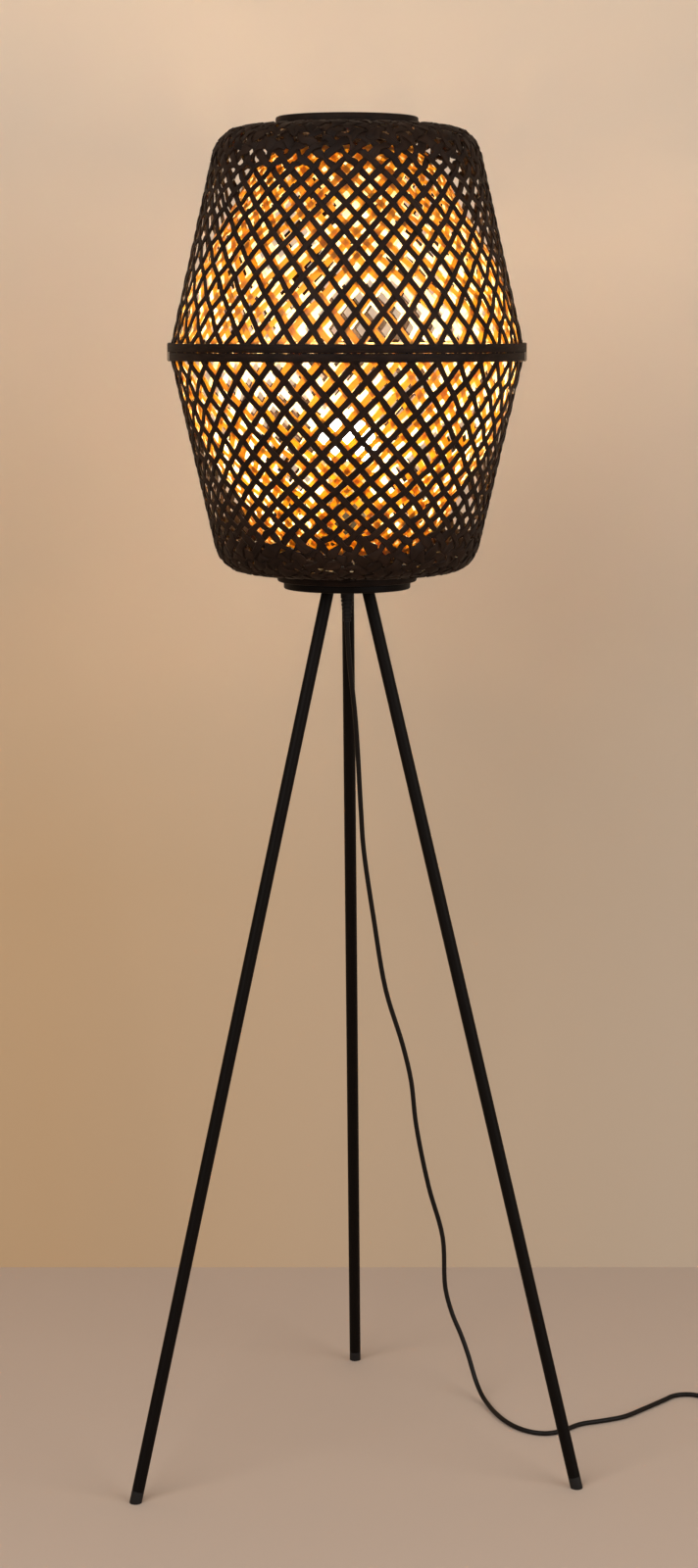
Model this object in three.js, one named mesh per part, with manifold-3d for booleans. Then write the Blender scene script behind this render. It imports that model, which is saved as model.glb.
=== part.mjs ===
// Rattan floor lamp: a two-layer woven shade on a three-legged steel stand, lit by one bulb.
// Millimetres, +Z up, standing on z = 0. Names in capitals are the sizes that can be set.

import * as THREE from 'three';
import { mergeVertices } from 'three/addons/utils/BufferGeometryUtils.js';
import Module from 'manifold-3d';

const wasm = await Module();
wasm.setup();

// Fits
const CLEARANCE = 0.3; // between pieces that touch
const WEAVE_CLEARANCE = 0.6; // between the woven layers, whose facets cross
const OVERRUN = 2; // how far a cutting tool reaches past a face
const WELD = 0.0001; // corners nearer than this are one corner

// Whole lamp
const LAMP_HEIGHT = 1400; // floor to the top of the upper collar
const SHADE_HEIGHT = 465; // underside of the lower collar to the top of the upper one

// Outer basket, from the hoops to one collar
const RIM_RADIUS = 178.5;
const SHOULDER_RADIUS = 129.6; // where the cone and the dome would meet in a sharp corner
const SHOULDER_DROP = 10; // of that corner, below the top of the shade
const SHOULDER_ROUNDING = 39;
const OUTER_WEAVE_THICKNESS = 2;
const OUTER_STRIP_WIDTH = 13;
const OUTER_STRIPS = 16; // in each of the two directions
const OUTER_ROWS = 7;
const OUTER_ROW_SHRINK_SHARE = 0.9; // each row of cells is this share of the one before
const OUTER_END_BAND = 4; // solid edge at the collar

// Inner basket, from the hoops to its open end
const INNER_DROP = 31.5; // of its open end, below the top of the shade
const INNER_END_RADIUS = 76;
const INNER_WEAVE_THICKNESS = 1.8;
const INNER_STRIP_WIDTH = 15;
const INNER_STRIPS = 12;
const INNER_ROWS = 4;
const INNER_ROW_SHRINK_SHARE = 0.88;
const INNER_END_BAND = 7;
// Height above the hoop as a share of the woven height, then the share of the radius lost there
const INNER_OUTLINE_SHARES = [[0, 0], [0.25, 0.14], [0.5, 0.36], [0.72, 0.63], [0.88, 0.79], [1, 1]];

// Hoops at the middle of the shade
const HOOP_HEIGHT = 8.5;
const HOOP_GAP = 0.4; // between the upper and the lower hoops
const UPPER_HOOP_THICKNESS = 2.6;
const LOWER_HOOP_THICKNESS = 1.6;
const INNER_HOOP_THICKNESS = 3;
const END_RING_THICKNESS = 3;
const TIE_WIDTH = 2.6;
const TIE_THICKNESS = 1;
const TIE_AZIMUTHS = [0, 90, 180]; // degrees, right, back and left

// Collars
const COLLAR_RADIUS = 71.5;
const COLLAR_WIDTH = 9;
const COLLAR_HEIGHT = 11;
const COLLAR_RISE = 8; // beyond the end of the weave
const COLLAR_EDGE = 1.8; // width of the chamfered edges

// Base dish and hub
const DISH_RADIUS = 65;
const DISH_HEIGHT = 7.2;
const DISH_FLOOR = 2;
const DISH_WALL = 2.5;
const DISH_EDGE = 1.6;
const HUB_RADIUS = 36;
const HUB_HEIGHT = 17.2;
const HUB_CHAMFER = 2;

// Legs
const LEG_RADIUS = 6.35;
const LEG_WALL = 1;
const LEG_TOP_RADIUS = 23.2; // leg axis to lamp axis at the underside of the dish
const FOOT_RADIUS = 263.5; // leg axis to lamp axis on the floor
const LEG_ENGAGEMENT = 12; // how far a tube runs up past the underside of the dish
const LEG_AZIMUTHS = { back: 88, left: 214.5, right: 335 }; // degrees
const STUD_RADIUS = 4;
const STUD_TOP = 6; // length above the tube
const STUD_PLUG = 20; // length inside the tube
const FOOT_PLUG_HEIGHT = 12; // of the part that shows
const FOOT_PLUG_STEM = 14;
const FOOT_PLUG_ROUNDING = 2.4;

// Central stem: a hollow threaded tube with its nut and washer
const NIPPLE_RADIUS = 5;
const NIPPLE_WALL = 1.8;
const NIPPLE_DROP = 7; // below the dish
const NIPPLE_GRIP = 8; // inside the lamp holder
const WASHER_RADIUS = 10;
const WASHER_THICKNESS = 1.5;
const NUT_RADIUS = 8.1; // to its corners
const NUT_HEIGHT = 5;
const HOLDER_STANDOFF = 1.6; // nut to lamp holder

// Spider that holds the shade down on the dish
const SPIDER_THICKNESS = 2;
const SPIDER_RING_RADIUS = 15;
const SPIDER_ARM_WIDTH = 10;
const SPIDER_AZIMUTHS = [31, 155, 275]; // degrees, between the legs
const SPIDER_BEND = 4; // arm's first bend, outside the hub
const SPIDER_FOOT = 4; // arm's second bend, inside the collar
const SCREW_RADIUS = 1.5;
const SCREW_LENGTH = 6;
const SCREW_HEAD_RADIUS = 3;
const SCREW_HEAD_HEIGHT = 1.6;

// Lamp holder
const HOLDER_RADIUS = 20;
const HOLDER_WALL = 2;
const HOLDER_NECK_RADIUS = 12;
const HOLDER_NECK_HEIGHT = 14; // cone between the neck and the full radius
const HOLDER_CAP_HEIGHT = 24;
const HOLDER_BODY_HEIGHT = 35.7;
const HOLDER_LIP = 2.4; // carries the terminal block
const BLOCK_HEIGHT = 7;
const SCREW_SHELL_WALL = 0.6;
const SCREW_SHELL_HEIGHT = 20.4;
const CONTACT_RADIUS = 3.5;
const CONTACT_HEIGHT = 1.5;
const TERMINAL_OFFSET = 9;
const TERMINAL_RADIUS = 1.4;
const TERMINAL_HEAD_RADIUS = 2.4;
const TERMINAL_HEAD_HEIGHT = 1.5;
const TERMINAL_LENGTH = 5;
const LEAD_RADIUS = 1;

// Bulb
const BULB_LENGTH = 110;
const BULB_RADIUS = 30;
const BULB_CAP_RADIUS = 13.1;
const BULB_CAP_HEIGHT = 25.6;
const BULB_CAP_WALL = 0.8;
const BULB_TIP_RADIUS = 4;
const BULB_TIP_HEIGHT = 1.5;
const BULB_TIP_CONE = 5.5; // height of the insulator between the tip and the thread
const BULB_CAP_FLOOR = 1.5;
const BULB_NECK_RADIUS = 14.5;
const BULB_NECK_DEPTH = 13.6; // housing inside the cap
const BULB_SEAM_DROP = 12; // globe's lower edge, below its centre
const BULB_WALL = 1.5;
const LED_PLATE_THICKNESS = 1.2;
const LED_PLATE_DROP = 2.5; // below the housing's upper edge

// Cord, its strain relief, its foot switch and its plug
const CORD_RADIUS = 2.6;
const CORD_LIFT = 0.2; // cord off the floor
const RELIEF_RADIUS = 6.6;
const RELIEF_HEIGHT = 34;
const RELIEF_SLEEVE = 10; // length of the part round the stem
const RELIEF_TIP_WALL = 1.1;
const SWITCH_LENGTH = 74;
const SWITCH_WIDTH = 40;
const SWITCH_HEIGHT = 21;
const SWITCH_CORNER = 12;
const SWITCH_WALL = 2;
const SWITCH_BASE_THICKNESS = 3;
const SWITCH_CORD_HEIGHT = 9.5;
const SWITCH_PLACE = [474, 95]; // from the lamp's axis
const SWITCH_PILLAR_RADIUS = 3;
const SWITCH_PILLAR_INSET = 9; // from the end of the switch
const BUTTON_LENGTH = 30;
const BUTTON_WIDTH = 22;
const BUTTON_CORNER = 5;
const BUTTON_RISE = 4; // above the cover
const BUTTON_FLANGE = 1.5;
const BUTTON_TRAVEL = 3;
const BUTTON_SPRING_RADIUS = 4.5;
const BUTTON_SPRING_WIRE = 1.2;
const SWITCH_CONTACT_SIZE = [4, 12]; // thickness and width
const PLUG_LENGTH = 35;
const PLUG_WIDTH = 26;
const PLUG_NECK_WIDTH = 13;
const PLUG_THICKNESS = 13.7;
const PLUG_CORNER = 4;
const PLUG_SHOULDER_SHARE = 0.55; // of the plug's length, from its pins, at full width
const PIN_RADIUS = 2;
const PIN_LENGTH = 19;
const PIN_SEAT = 6;
const PIN_SPACING = 18.6;
const PLUG_GAP = 45; // middle of the coil to the back of the plug

// Coil of the cord that lies beside the switch
const COIL_RADIUS = 36; // centre of the outermost turn
const COIL_PITCH = 5.9; // from turn to turn and from layer to layer
const COIL_TURNS = 1.5; // in each of the two layers
const COIL_REVERSE_TURNS = 0.5; // where the spiral turns back and climbs
const COIL_LEAD = 49; // switch to the middle of the coil

// Counts of sides and steps
const RIM_SIDES = 28;
const BODY_SIDES = 16;
const SMALL_SIDES = 10;
const SCREW_SIDES = 8;
const NUT_SIDES = 6;
const LEG_SIDES = 12;
const CORD_SIDES = 8;
const CORD_STEPS = 80;
const COIL_SIDES = 6;
const COIL_STEPS_PER_TURN = 24;
const LEAD_STEPS = 5;
const CORNER_STEPS = 2;
const GLOBE_STEPS = 6;

// Route of the cord from the strain relief to the foot switch, from the lamp's axis at floor level
const CORD_ROUTE = [
  [2, 6, 855], [9, 24, 785], [14.5, 46, 690], [17.5, 62, 644], [28.5, 84, 564], [42, 105, 480],
  [61, 121, 414], [70.5, 130, 371], [76.5, 141, 318], [91, 156, 243], [107.5, 166, 180],
  [111, 170, 119], [119, 168, 89], [128.5, 163, 67], [136, 157, 47], [145, 145, 19], [151, 131, 8],
  [156, 117, 4], [166.5, 83, 2.8], [182, 51.4, 2.8], [201, 33.4, 2.8], [218, 29.6, 2.8], [234, 36.6, 2.8],
  [256, 56, 2.8], [281, 66, 2.8], [306, 78, 2.8], [331, 102, 2.8], [356, 128, 2.8], [367, 139.7, 2.8],
  [378.2, 144.3, 2.8], [389.5, 143.8, 2.8], [399.6, 138, 2.8], [406.3, 127.5, 2.8], [409, 111.6, 3.4],
  [413.5, 103.6, 4.8], [421.1, 97.7, 7],
];

// Colours and finishes
const finish = (color, roughness, metalness = 0) =>
  new THREE.MeshStandardMaterial({ color, roughness, metalness, flatShading: true });
const blackRattan = finish('#211510', 0.6);
const naturalRattan = finish('#d9a45c', 0.65);
const blackSteel = finish('#14110f', 0.4, 0.6);
const zincSteel = finish('#9a9a97', 0.4, 0.9);
const brass = finish('#c09a4a', 0.35, 0.9);
const blackPlastic = finish('#161413', 0.5);
const whitePlastic = finish('#efece4', 0.5);
const opalPlastic = finish('#fff6df', 0.4);
const blackRubber = finish('#151312', 0.8);
const brownWire = finish('#5b3520', 0.6);
const blueWire = finish('#2c4a86', 0.6);

// Levels up the lamp's axis
const shadeMiddle = LAMP_HEIGHT - SHADE_HEIGHT / 2;
const collarSeat = LAMP_HEIGHT - SHADE_HEIGHT;
const dishTop = collarSeat - CLEARANCE;
const dishBottom = dishTop - DISH_HEIGHT;
const hubBottom = dishBottom + DISH_FLOOR + CLEARANCE;
const hubTop = hubBottom + HUB_HEIGHT;
const spiderBottom = hubTop + CLEARANCE;
const washerBottom = spiderBottom + SPIDER_THICKNESS + CLEARANCE;
const nutBottom = washerBottom + WASHER_THICKNESS + CLEARANCE;
const holderBottom = nutBottom + NUT_HEIGHT + HOLDER_STANDOFF;
const holderJoint = holderBottom + HOLDER_CAP_HEIGHT;
const blockBottom = holderJoint + CLEARANCE;
const blockTop = blockBottom + BLOCK_HEIGHT;
const bulbBottom = blockTop + CLEARANCE + CONTACT_HEIGHT + CLEARANCE;
const nippleBottom = dishBottom - NIPPLE_DROP;
const nippleTop = holderBottom + NIPPLE_GRIP;
const reliefTop = dishBottom - CLEARANCE;
const reliefBottom = reliefTop - RELIEF_HEIGHT;

const nippleBore = NIPPLE_RADIUS + CLEARANCE;
const cordBore = CORD_RADIUS + CLEARANCE;
const radians = THREE.MathUtils.degToRad;

// A closed mesh with shared corners, its faces pointing out
function closed(geometry) {
  const bare = geometry.clone();
  bare.deleteAttribute('normal');
  bare.deleteAttribute('uv');
  const welded = mergeVertices(bare, WELD);
  const corners = Array.from(welded.index.array);
  const place = welded.attributes.position;
  const kept = [];
  const [p, q, r] = [new THREE.Vector3(), new THREE.Vector3(), new THREE.Vector3()];
  let volume = 0;
  for (let i = 0; i < corners.length; i += 3) {
    const [a, b, c] = corners.slice(i, i + 3);
    if (a === b || b === c || c === a) continue;
    kept.push(a, b, c);
    p.fromBufferAttribute(place, a);
    q.fromBufferAttribute(place, b);
    r.fromBufferAttribute(place, c);
    volume += p.dot(q.cross(r));
  }
  if (volume < 0) kept.reverse();
  welded.setIndex(kept);
  welded.computeVertexNormals();
  return welded;
}

// Boolean cuts and joins
function toManifold(geometry) {
  const { attributes, index } = closed(geometry);
  return new wasm.Manifold(new wasm.Mesh({
    numProp: 3,
    vertProperties: new Float32Array(attributes.position.array),
    triVerts: new Uint32Array(index.array),
  }));
}

function fromManifold(manifold) {
  const { vertProperties, triVerts } = manifold.getMesh();
  const geometry = new THREE.BufferGeometry();
  geometry.setAttribute('position', new THREE.BufferAttribute(new Float32Array(vertProperties), 3));
  geometry.setIndex(Array.from(triVerts));
  geometry.computeVertexNormals();
  return geometry;
}

const cut = (base, ...tools) =>
  fromManifold(tools.reduce((left, tool) => left.subtract(toManifold(tool)), toManifold(base)));

const join = (base, ...others) =>
  fromManifold(others.reduce((sum, other) => sum.add(toManifold(other)), toManifold(base)));

// A solid of revolution about Z from [radius, height] points; a profile off the axis closes on itself
function turned(profile, sides) {
  const points = profile.map(([radius, height]) => new THREE.Vector2(radius, height));
  if (profile[0][0] > 0) points.push(points[0].clone());
  return closed(new THREE.LatheGeometry(points, sides).rotateX(Math.PI / 2));
}

const rod = (radius, low, high, sides) =>
  turned([[0, low], [radius, low], [radius, high], [0, high]], sides);

const pipe = (bore, radius, low, high, sides) =>
  turned([[bore, low], [radius, low], [radius, high], [bore, high]], sides);

// An outline in X and Y, raised along Z from low to high
const raised = (shape, low, high) =>
  closed(new THREE.ExtrudeGeometry(shape, {
    depth: high - low,
    bevelEnabled: false,
    curveSegments: CORNER_STEPS,
  }).translate(0, 0, low));

function roundedRectangle(length, width, corner) {
  const [x, y] = [length / 2 - corner, width / 2 - corner];
  const shape = new THREE.Shape();
  shape.absarc(x, y, corner, 0, Math.PI / 2);
  shape.absarc(-x, y, corner, Math.PI / 2, Math.PI);
  shape.absarc(-x, -y, corner, Math.PI, Math.PI * 1.5);
  shape.absarc(x, -y, corner, Math.PI * 1.5, Math.PI * 2);
  return shape;
}

// A round tube along a curve
function swept(points, radius, sides, steps) {
  const route = new THREE.CatmullRomCurve3(points.map((point) => new THREE.Vector3(...point)));
  const section = new THREE.Shape(Array.from({ length: sides }, (_, i) => {
    const angle = (2 * Math.PI * i) / sides;
    return new THREE.Vector2(radius * Math.cos(angle), radius * Math.sin(angle));
  }));
  return closed(new THREE.ExtrudeGeometry(section, { steps, extrudePath: route }));
}

function piece(parent, name, geometry, material) {
  const mesh = new THREE.Mesh(geometry, material);
  mesh.name = name;
  parent.add(mesh);
  return mesh;
}

// Openwork of crossing strips: a surface of revolution about Z with one hole for each cell.
// The meridian is a curve of [radius, height] points. A plain band edges both ends, and both bands
// have flat facets, so that they nest in rings with the same number of sides.
function openwork({ meridian, strips, rows, shrinkShare, stripWidth, thickness, bands }) {
  const length = meridian.getLength();
  const woven = length - bands[0] - bands[1];
  const cell = Math.PI / strips;
  const facet = (2 * Math.PI) / RIM_SIDES;
  const outside = [];
  const inside = [];

  function corner(along, angle, flat) {
    const share = along / length;
    const { x: radius, y: height } = meridian.getPointAt(share);
    const slope = meridian.getTangentAt(share);
    const turn = ((angle % facet) + facet) % facet - facet / 2;
    const squash = flat ? Math.cos(facet / 2) / Math.cos(turn) : 1;
    const inner = [radius - thickness * slope.y, height + thickness * slope.x];
    for (const [list, r, z] of [[outside, radius, height], [inside, ...inner]]) {
      list.push(squash * r * Math.cos(angle), squash * r * Math.sin(angle), z);
    }
    return outside.length / 3 - 1;
  }

  const heightOf = (row) =>
    bands[0] + (woven * (1 - shrinkShare ** row)) / (1 - shrinkShare ** rows);

  // Corners of the crossings, row by row
  const crossings = [];
  for (let row = 0; row <= rows; row += 1) {
    const along = heightOf(row);
    const radius = meridian.getPointAt(along / length).x;
    const step = (heightOf(Math.min(row + 1, rows)) - heightOf(Math.max(row - 1, 0)))
      / (Math.min(row + 1, rows) - Math.max(row - 1, 0));
    const lean = Math.atan2(radius * cell, step);
    const sideways = stripWidth / 2 / Math.cos(lean) / radius;
    const upward = stripWidth / 2 / Math.sin(lean);
    const edge = row === 0 || row === rows;
    crossings.push(Array.from({ length: strips }, (_, i) => {
      const angle = (2 * i + 1 + (row % 2)) * cell;
      return {
        angle,
        left: corner(along, angle - sideways, edge),
        right: corner(along, angle + sideways, edge),
        above: row < rows ? corner(along + upward, angle, edge) : null,
        below: row > 0 ? corner(along - upward, angle, edge) : null,
        sideways,
      };
    }));
  }

  const faces = [];
  const quad = (a, b, c, d) => faces.push([a, b, c], [a, c, d]);
  crossings.forEach((crossing, row) => crossing.forEach((here, i) => {
    const { left, right, above, below } = here;
    if (row === 0) faces.push([left, right, above]);
    else if (row === rows) faces.push([below, right, left]);
    else quad(below, right, above, left);
    if (row === rows) return;
    const next = crossings[row + 1];
    const rightward = next[(i + (row % 2)) % strips];
    const leftward = next[(i - 1 + (row % 2) + strips) % strips];
    quad(right, rightward.below, rightward.left, above);
    quad(left, above, leftward.right, leftward.below);
  }));

  // A band between a free edge and the row of crossings nearest to it
  const free = (along) => Array.from({ length: RIM_SIDES }, (_, i) =>
    ({ angle: i * facet, index: corner(along, i * facet, true) }));

  function woundEdge(row, along) {
    const marks = crossings[row].flatMap(({ angle, sideways, left, right }) => [
      { angle: angle - sideways, index: left },
      { angle: angle + sideways, index: right },
    ]);
    const apart = (a, b) => Math.abs(Math.sin((a - b) / 2));
    for (let i = 0; i < RIM_SIDES; i += 1) {
      const covered = crossings[row].some(({ angle, sideways }) =>
        apart(angle, i * facet) <= Math.sin(sideways / 2));
      if (!covered) marks.push({ angle: i * facet, index: corner(along, i * facet, true) });
    }
    const full = 2 * Math.PI;
    return marks.map((mark) => ({ ...mark, angle: (mark.angle + full) % full }))
      .sort((a, b) => a.angle - b.angle);
  }

  function bridge(lower, upper) {
    let [i, k] = [0, 0];
    const at = (loop, n) => loop[n % loop.length].angle + 2 * Math.PI * Math.floor(n / loop.length);
    while (i < lower.length || k < upper.length) {
      const [low, high] = [lower[i % lower.length].index, upper[k % upper.length].index];
      if (k === upper.length || (i < lower.length && at(lower, i + 1) <= at(upper, k + 1))) {
        i += 1;
        faces.push([low, lower[i % lower.length].index, high]);
      } else {
        k += 1;
        faces.push([low, upper[k % upper.length].index, high]);
      }
    }
  }

  bridge(free(0), woundEdge(0, bands[0]));
  bridge(woundEdge(rows, length - bands[1]), free(length));

  // The same faces inside, turned round, and a wall along each open edge
  const count = outside.length / 3;
  const edges = new Set(faces.flatMap(([a, b, c]) => [`${a} ${b}`, `${b} ${c}`, `${c} ${a}`]));
  const index = faces.flatMap(([a, b, c]) => [a, b, c, c + count, b + count, a + count]);
  for (const edge of edges) {
    const [a, b] = edge.split(' ').map(Number);
    if (!edges.has(`${b} ${a}`)) index.push(b, a, a + count, b, a + count, b + count);
  }
  const geometry = new THREE.BufferGeometry();
  geometry.setAttribute('position', new THREE.Float32BufferAttribute([...outside, ...inside], 3));
  geometry.setIndex(index);
  return closed(geometry);
}

// Half of the shade, from the hoops up to its collar, about its own middle plane
const hoopBottom = HOOP_GAP / 2;
const hoopTop = hoopBottom + HOOP_HEIGHT;
const rimTop = hoopTop + CLEARANCE; // the weave opens above the hoop and its tie's seat
const innerRimRadius = RIM_RADIUS - OUTER_WEAVE_THICKNESS - WEAVE_CLEARANCE;
const innerHoopRadius = innerRimRadius - INNER_WEAVE_THICKNESS - WEAVE_CLEARANCE;
const collarTop = SHADE_HEIGHT / 2;
const shoulderHeight = collarTop - SHOULDER_DROP;
const innerTop = collarTop - INNER_DROP;

function outerMeridian() {
  const rim = new THREE.Vector2(RIM_RADIUS, rimTop);
  const shoulder = new THREE.Vector2(SHOULDER_RADIUS, shoulderHeight);
  const end = new THREE.Vector2(COLLAR_RADIUS + CLEARANCE, collarTop - COLLAR_RISE);
  const toRim = rim.clone().sub(shoulder);
  const toEnd = end.clone().sub(shoulder);
  const corner = Math.acos(toRim.dot(toEnd) / toRim.length() / toEnd.length());
  const tangent = SHOULDER_ROUNDING / Math.tan(corner / 2);
  const start = shoulder.clone().add(toRim.clone().setLength(tangent));
  const finishPoint = shoulder.clone().add(toEnd.clone().setLength(tangent));
  const path = new THREE.Path();
  path.moveTo(RIM_RADIUS, hoopBottom);
  path.lineTo(rim.x, rim.y);
  path.lineTo(start.x, start.y);
  path.quadraticCurveTo(shoulder.x, shoulder.y, finishPoint.x, finishPoint.y);
  path.lineTo(end.x, end.y);
  return path;
}

function innerMeridian() {
  const path = new THREE.Path();
  path.moveTo(innerRimRadius, hoopBottom);
  path.lineTo(innerRimRadius, rimTop);
  path.splineThru(INNER_OUTLINE_SHARES.slice(1).map(([upShare, inShare]) => new THREE.Vector2(
    innerRimRadius - (innerRimRadius - INNER_END_RADIUS) * inShare,
    rimTop + (innerTop - rimTop) * upShare,
  )));
  return path;
}

const outerBasket = openwork({
  meridian: outerMeridian(),
  strips: OUTER_STRIPS,
  rows: OUTER_ROWS,
  shrinkShare: OUTER_ROW_SHRINK_SHARE,
  stripWidth: OUTER_STRIP_WIDTH,
  thickness: OUTER_WEAVE_THICKNESS,
  bands: [rimTop - hoopBottom, OUTER_END_BAND],
});

const innerBasket = openwork({
  meridian: innerMeridian(),
  strips: INNER_STRIPS,
  rows: INNER_ROWS,
  shrinkShare: INNER_ROW_SHRINK_SHARE,
  stripWidth: INNER_STRIP_WIDTH,
  thickness: INNER_WEAVE_THICKNESS,
  bands: [rimTop - hoopBottom, INNER_END_BAND],
});

// Ring inside the open end of the inner basket, leaning as the weave does there
function endRing() {
  const meridian = innerMeridian();
  const length = meridian.getLength();
  const seat = INNER_WEAVE_THICKNESS + WEAVE_CLEARANCE;
  const face = (along, depth) => {
    const { x: radius, y: height } = meridian.getPointAt(along / length);
    const slope = meridian.getTangentAt(along / length);
    return [radius - depth * slope.y, height + depth * slope.x];
  };
  const low = length - INNER_END_BAND;
  const depth = seat + END_RING_THICKNESS;
  return turned([face(low, depth), face(low, seat), face(length, seat), face(length, depth)], RIM_SIDES);
}

// Rattan collar with chamfered edges, its top at the height given
function collar(top) {
  const [bore, bottom] = [COLLAR_RADIUS - COLLAR_WIDTH, top - COLLAR_HEIGHT];
  return turned([
    [bore, bottom + COLLAR_EDGE],
    [bore + COLLAR_EDGE, bottom],
    [COLLAR_RADIUS - COLLAR_EDGE, bottom],
    [COLLAR_RADIUS, bottom + COLLAR_EDGE],
    [COLLAR_RADIUS, top - COLLAR_EDGE],
    [COLLAR_RADIUS - COLLAR_EDGE, top],
    [bore + COLLAR_EDGE, top],
    [bore, top - COLLAR_EDGE],
  ], RIM_SIDES);
}

const screwCircle = COLLAR_RADIUS - COLLAR_WIDTH / 2;
const screwHoles = SPIDER_AZIMUTHS.map((azimuth) =>
  rod(SCREW_RADIUS + CLEARANCE, -OVERRUN, COLLAR_HEIGHT + SPIDER_THICKNESS + OVERRUN, SCREW_SIDES)
    .translate(screwCircle, 0, 0)
    .rotateZ(radians(azimuth)));

function shadeHalf(parent, side, hoopThickness) {
  const half = new THREE.Group();
  parent.add(half);
  const hoopBore = RIM_RADIUS + CLEARANCE;
  piece(half, `outer_basket_${side}`, outerBasket, blackRattan);
  piece(half, `inner_basket_${side}`, innerBasket, naturalRattan);
  piece(half, `outer_hoop_${side}`,
    pipe(hoopBore, hoopBore + hoopThickness, hoopBottom, hoopTop, RIM_SIDES), blackRattan);
  piece(half, `inner_hoop_${side}`,
    pipe(innerHoopRadius - INNER_HOOP_THICKNESS, innerHoopRadius, hoopBottom, hoopTop, RIM_SIDES),
    naturalRattan);
  piece(half, `inner_end_ring_${side}`, endRing(), naturalRattan);
  return half;
}

// A tie is a flat loop through the weave that holds the hoops of both halves together
function hoopTie() {
  const bore = innerHoopRadius - INNER_HOOP_THICKNESS - CLEARANCE;
  const face = RIM_RADIUS + 2 * CLEARANCE + Math.max(UPPER_HOOP_THICKNESS, LOWER_HOOP_THICKNESS);
  const height = rimTop + CLEARANCE;
  const loop = new THREE.Shape([
    new THREE.Vector2(bore - TIE_THICKNESS, -height - TIE_THICKNESS),
    new THREE.Vector2(face + TIE_THICKNESS, -height - TIE_THICKNESS),
    new THREE.Vector2(face + TIE_THICKNESS, height + TIE_THICKNESS),
    new THREE.Vector2(bore - TIE_THICKNESS, height + TIE_THICKNESS),
  ]);
  loop.holes.push(new THREE.Path([
    new THREE.Vector2(bore, -height),
    new THREE.Vector2(bore, height),
    new THREE.Vector2(face, height),
    new THREE.Vector2(face, -height),
  ]));
  return raised(loop, -TIE_WIDTH / 2, TIE_WIDTH / 2).rotateX(Math.PI / 2);
}

// Shade
const lamp = new THREE.Group();
const shade = new THREE.Group();
shade.position.z = shadeMiddle;
lamp.add(shade);

shadeHalf(shade, 'upper', UPPER_HOOP_THICKNESS);
shadeHalf(shade, 'lower', LOWER_HOOP_THICKNESS).rotation.x = Math.PI;
const tieNames = ['right', 'back', 'left'];
TIE_AZIMUTHS.forEach((azimuth, i) => {
  piece(shade, `hoop_tie_${tieNames[i]}`, hoopTie(), blackRattan).rotation.z = radians(azimuth);
});
piece(shade, 'upper_collar', collar(collarTop), blackRattan);

const lowerCollar = piece(lamp, 'lower_collar', cut(collar(COLLAR_HEIGHT), ...screwHoles), blackRattan);
lowerCollar.position.z = collarSeat;

// Legs, each about its own axis, with its foot on the floor at the origin
const legLean = Math.atan2(FOOT_RADIUS - LEG_TOP_RADIUS, dishBottom);
const legLength = Math.hypot(FOOT_RADIUS - LEG_TOP_RADIUS, dishBottom); // floor to the dish
const tubeTop = legLength + LEG_ENGAGEMENT;
const tubeBottom = FOOT_PLUG_HEIGHT + CLEARANCE;
const legBore = LEG_RADIUS - LEG_WALL;
const plugRadius = legBore - CLEARANCE;

const legTube = pipe(legBore, LEG_RADIUS, tubeBottom, tubeTop, LEG_SIDES);

const legStud = turned([
  [0, tubeTop - STUD_PLUG],
  [plugRadius, tubeTop - STUD_PLUG],
  [plugRadius, tubeTop],
  [STUD_RADIUS, tubeTop],
  [STUD_RADIUS, tubeTop + STUD_TOP],
  [0, tubeTop + STUD_TOP],
], SMALL_SIDES);

// The end plug is cut level, so that it stands flat on the floor
function footPlug() {
  const low = -LEG_RADIUS * Math.tan(legLean) - FOOT_PLUG_ROUNDING / 2;
  const blank = turned([
    [0, low],
    [LEG_RADIUS - FOOT_PLUG_ROUNDING, low],
    [LEG_RADIUS, low + FOOT_PLUG_ROUNDING],
    [LEG_RADIUS, FOOT_PLUG_HEIGHT],
    [plugRadius, FOOT_PLUG_HEIGHT],
    [plugRadius, FOOT_PLUG_HEIGHT + FOOT_PLUG_STEM],
    [0, FOOT_PLUG_HEIGHT + FOOT_PLUG_STEM],
  ], LEG_SIDES);
  const floor = new THREE.BoxGeometry(LEG_RADIUS * 4, LEG_RADIUS * 4, LEG_RADIUS * 4)
    .translate(0, 0, -LEG_RADIUS * 2)
    .rotateY(legLean);
  return cut(blank, floor);
}

const plug = footPlug();
const legNames = Object.keys(LEG_AZIMUTHS);
const legPlace = (name) => new THREE.Matrix4()
  .makeRotationZ(radians(LEG_AZIMUTHS[name]))
  .multiply(new THREE.Matrix4().makeTranslation(FOOT_RADIUS, 0, 0))
  .multiply(new THREE.Matrix4().makeRotationY(-legLean));

for (const name of legNames) {
  const leg = new THREE.Group();
  leg.applyMatrix4(legPlace(name));
  lamp.add(leg);
  piece(leg, `leg_${name}`, legTube, blackSteel);
  piece(leg, `leg_stud_${name}`, legStud, zincSteel);
  piece(leg, `foot_plug_${name}`, plug, blackRubber);
}

// Dish and hub, with a slanted socket for each leg
const sockets = legNames.map((name) =>
  rod(LEG_RADIUS + CLEARANCE, tubeTop - STUD_PLUG * 2, tubeTop + CLEARANCE, LEG_SIDES)
    .applyMatrix4(legPlace(name)));
const studHoles = legNames.map((name) =>
  rod(STUD_RADIUS + CLEARANCE, tubeTop, tubeTop + HUB_HEIGHT + OVERRUN, SMALL_SIDES)
    .applyMatrix4(legPlace(name)));
const stemHole = rod(nippleBore, dishBottom - OVERRUN, hubTop + OVERRUN, SMALL_SIDES);

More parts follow.
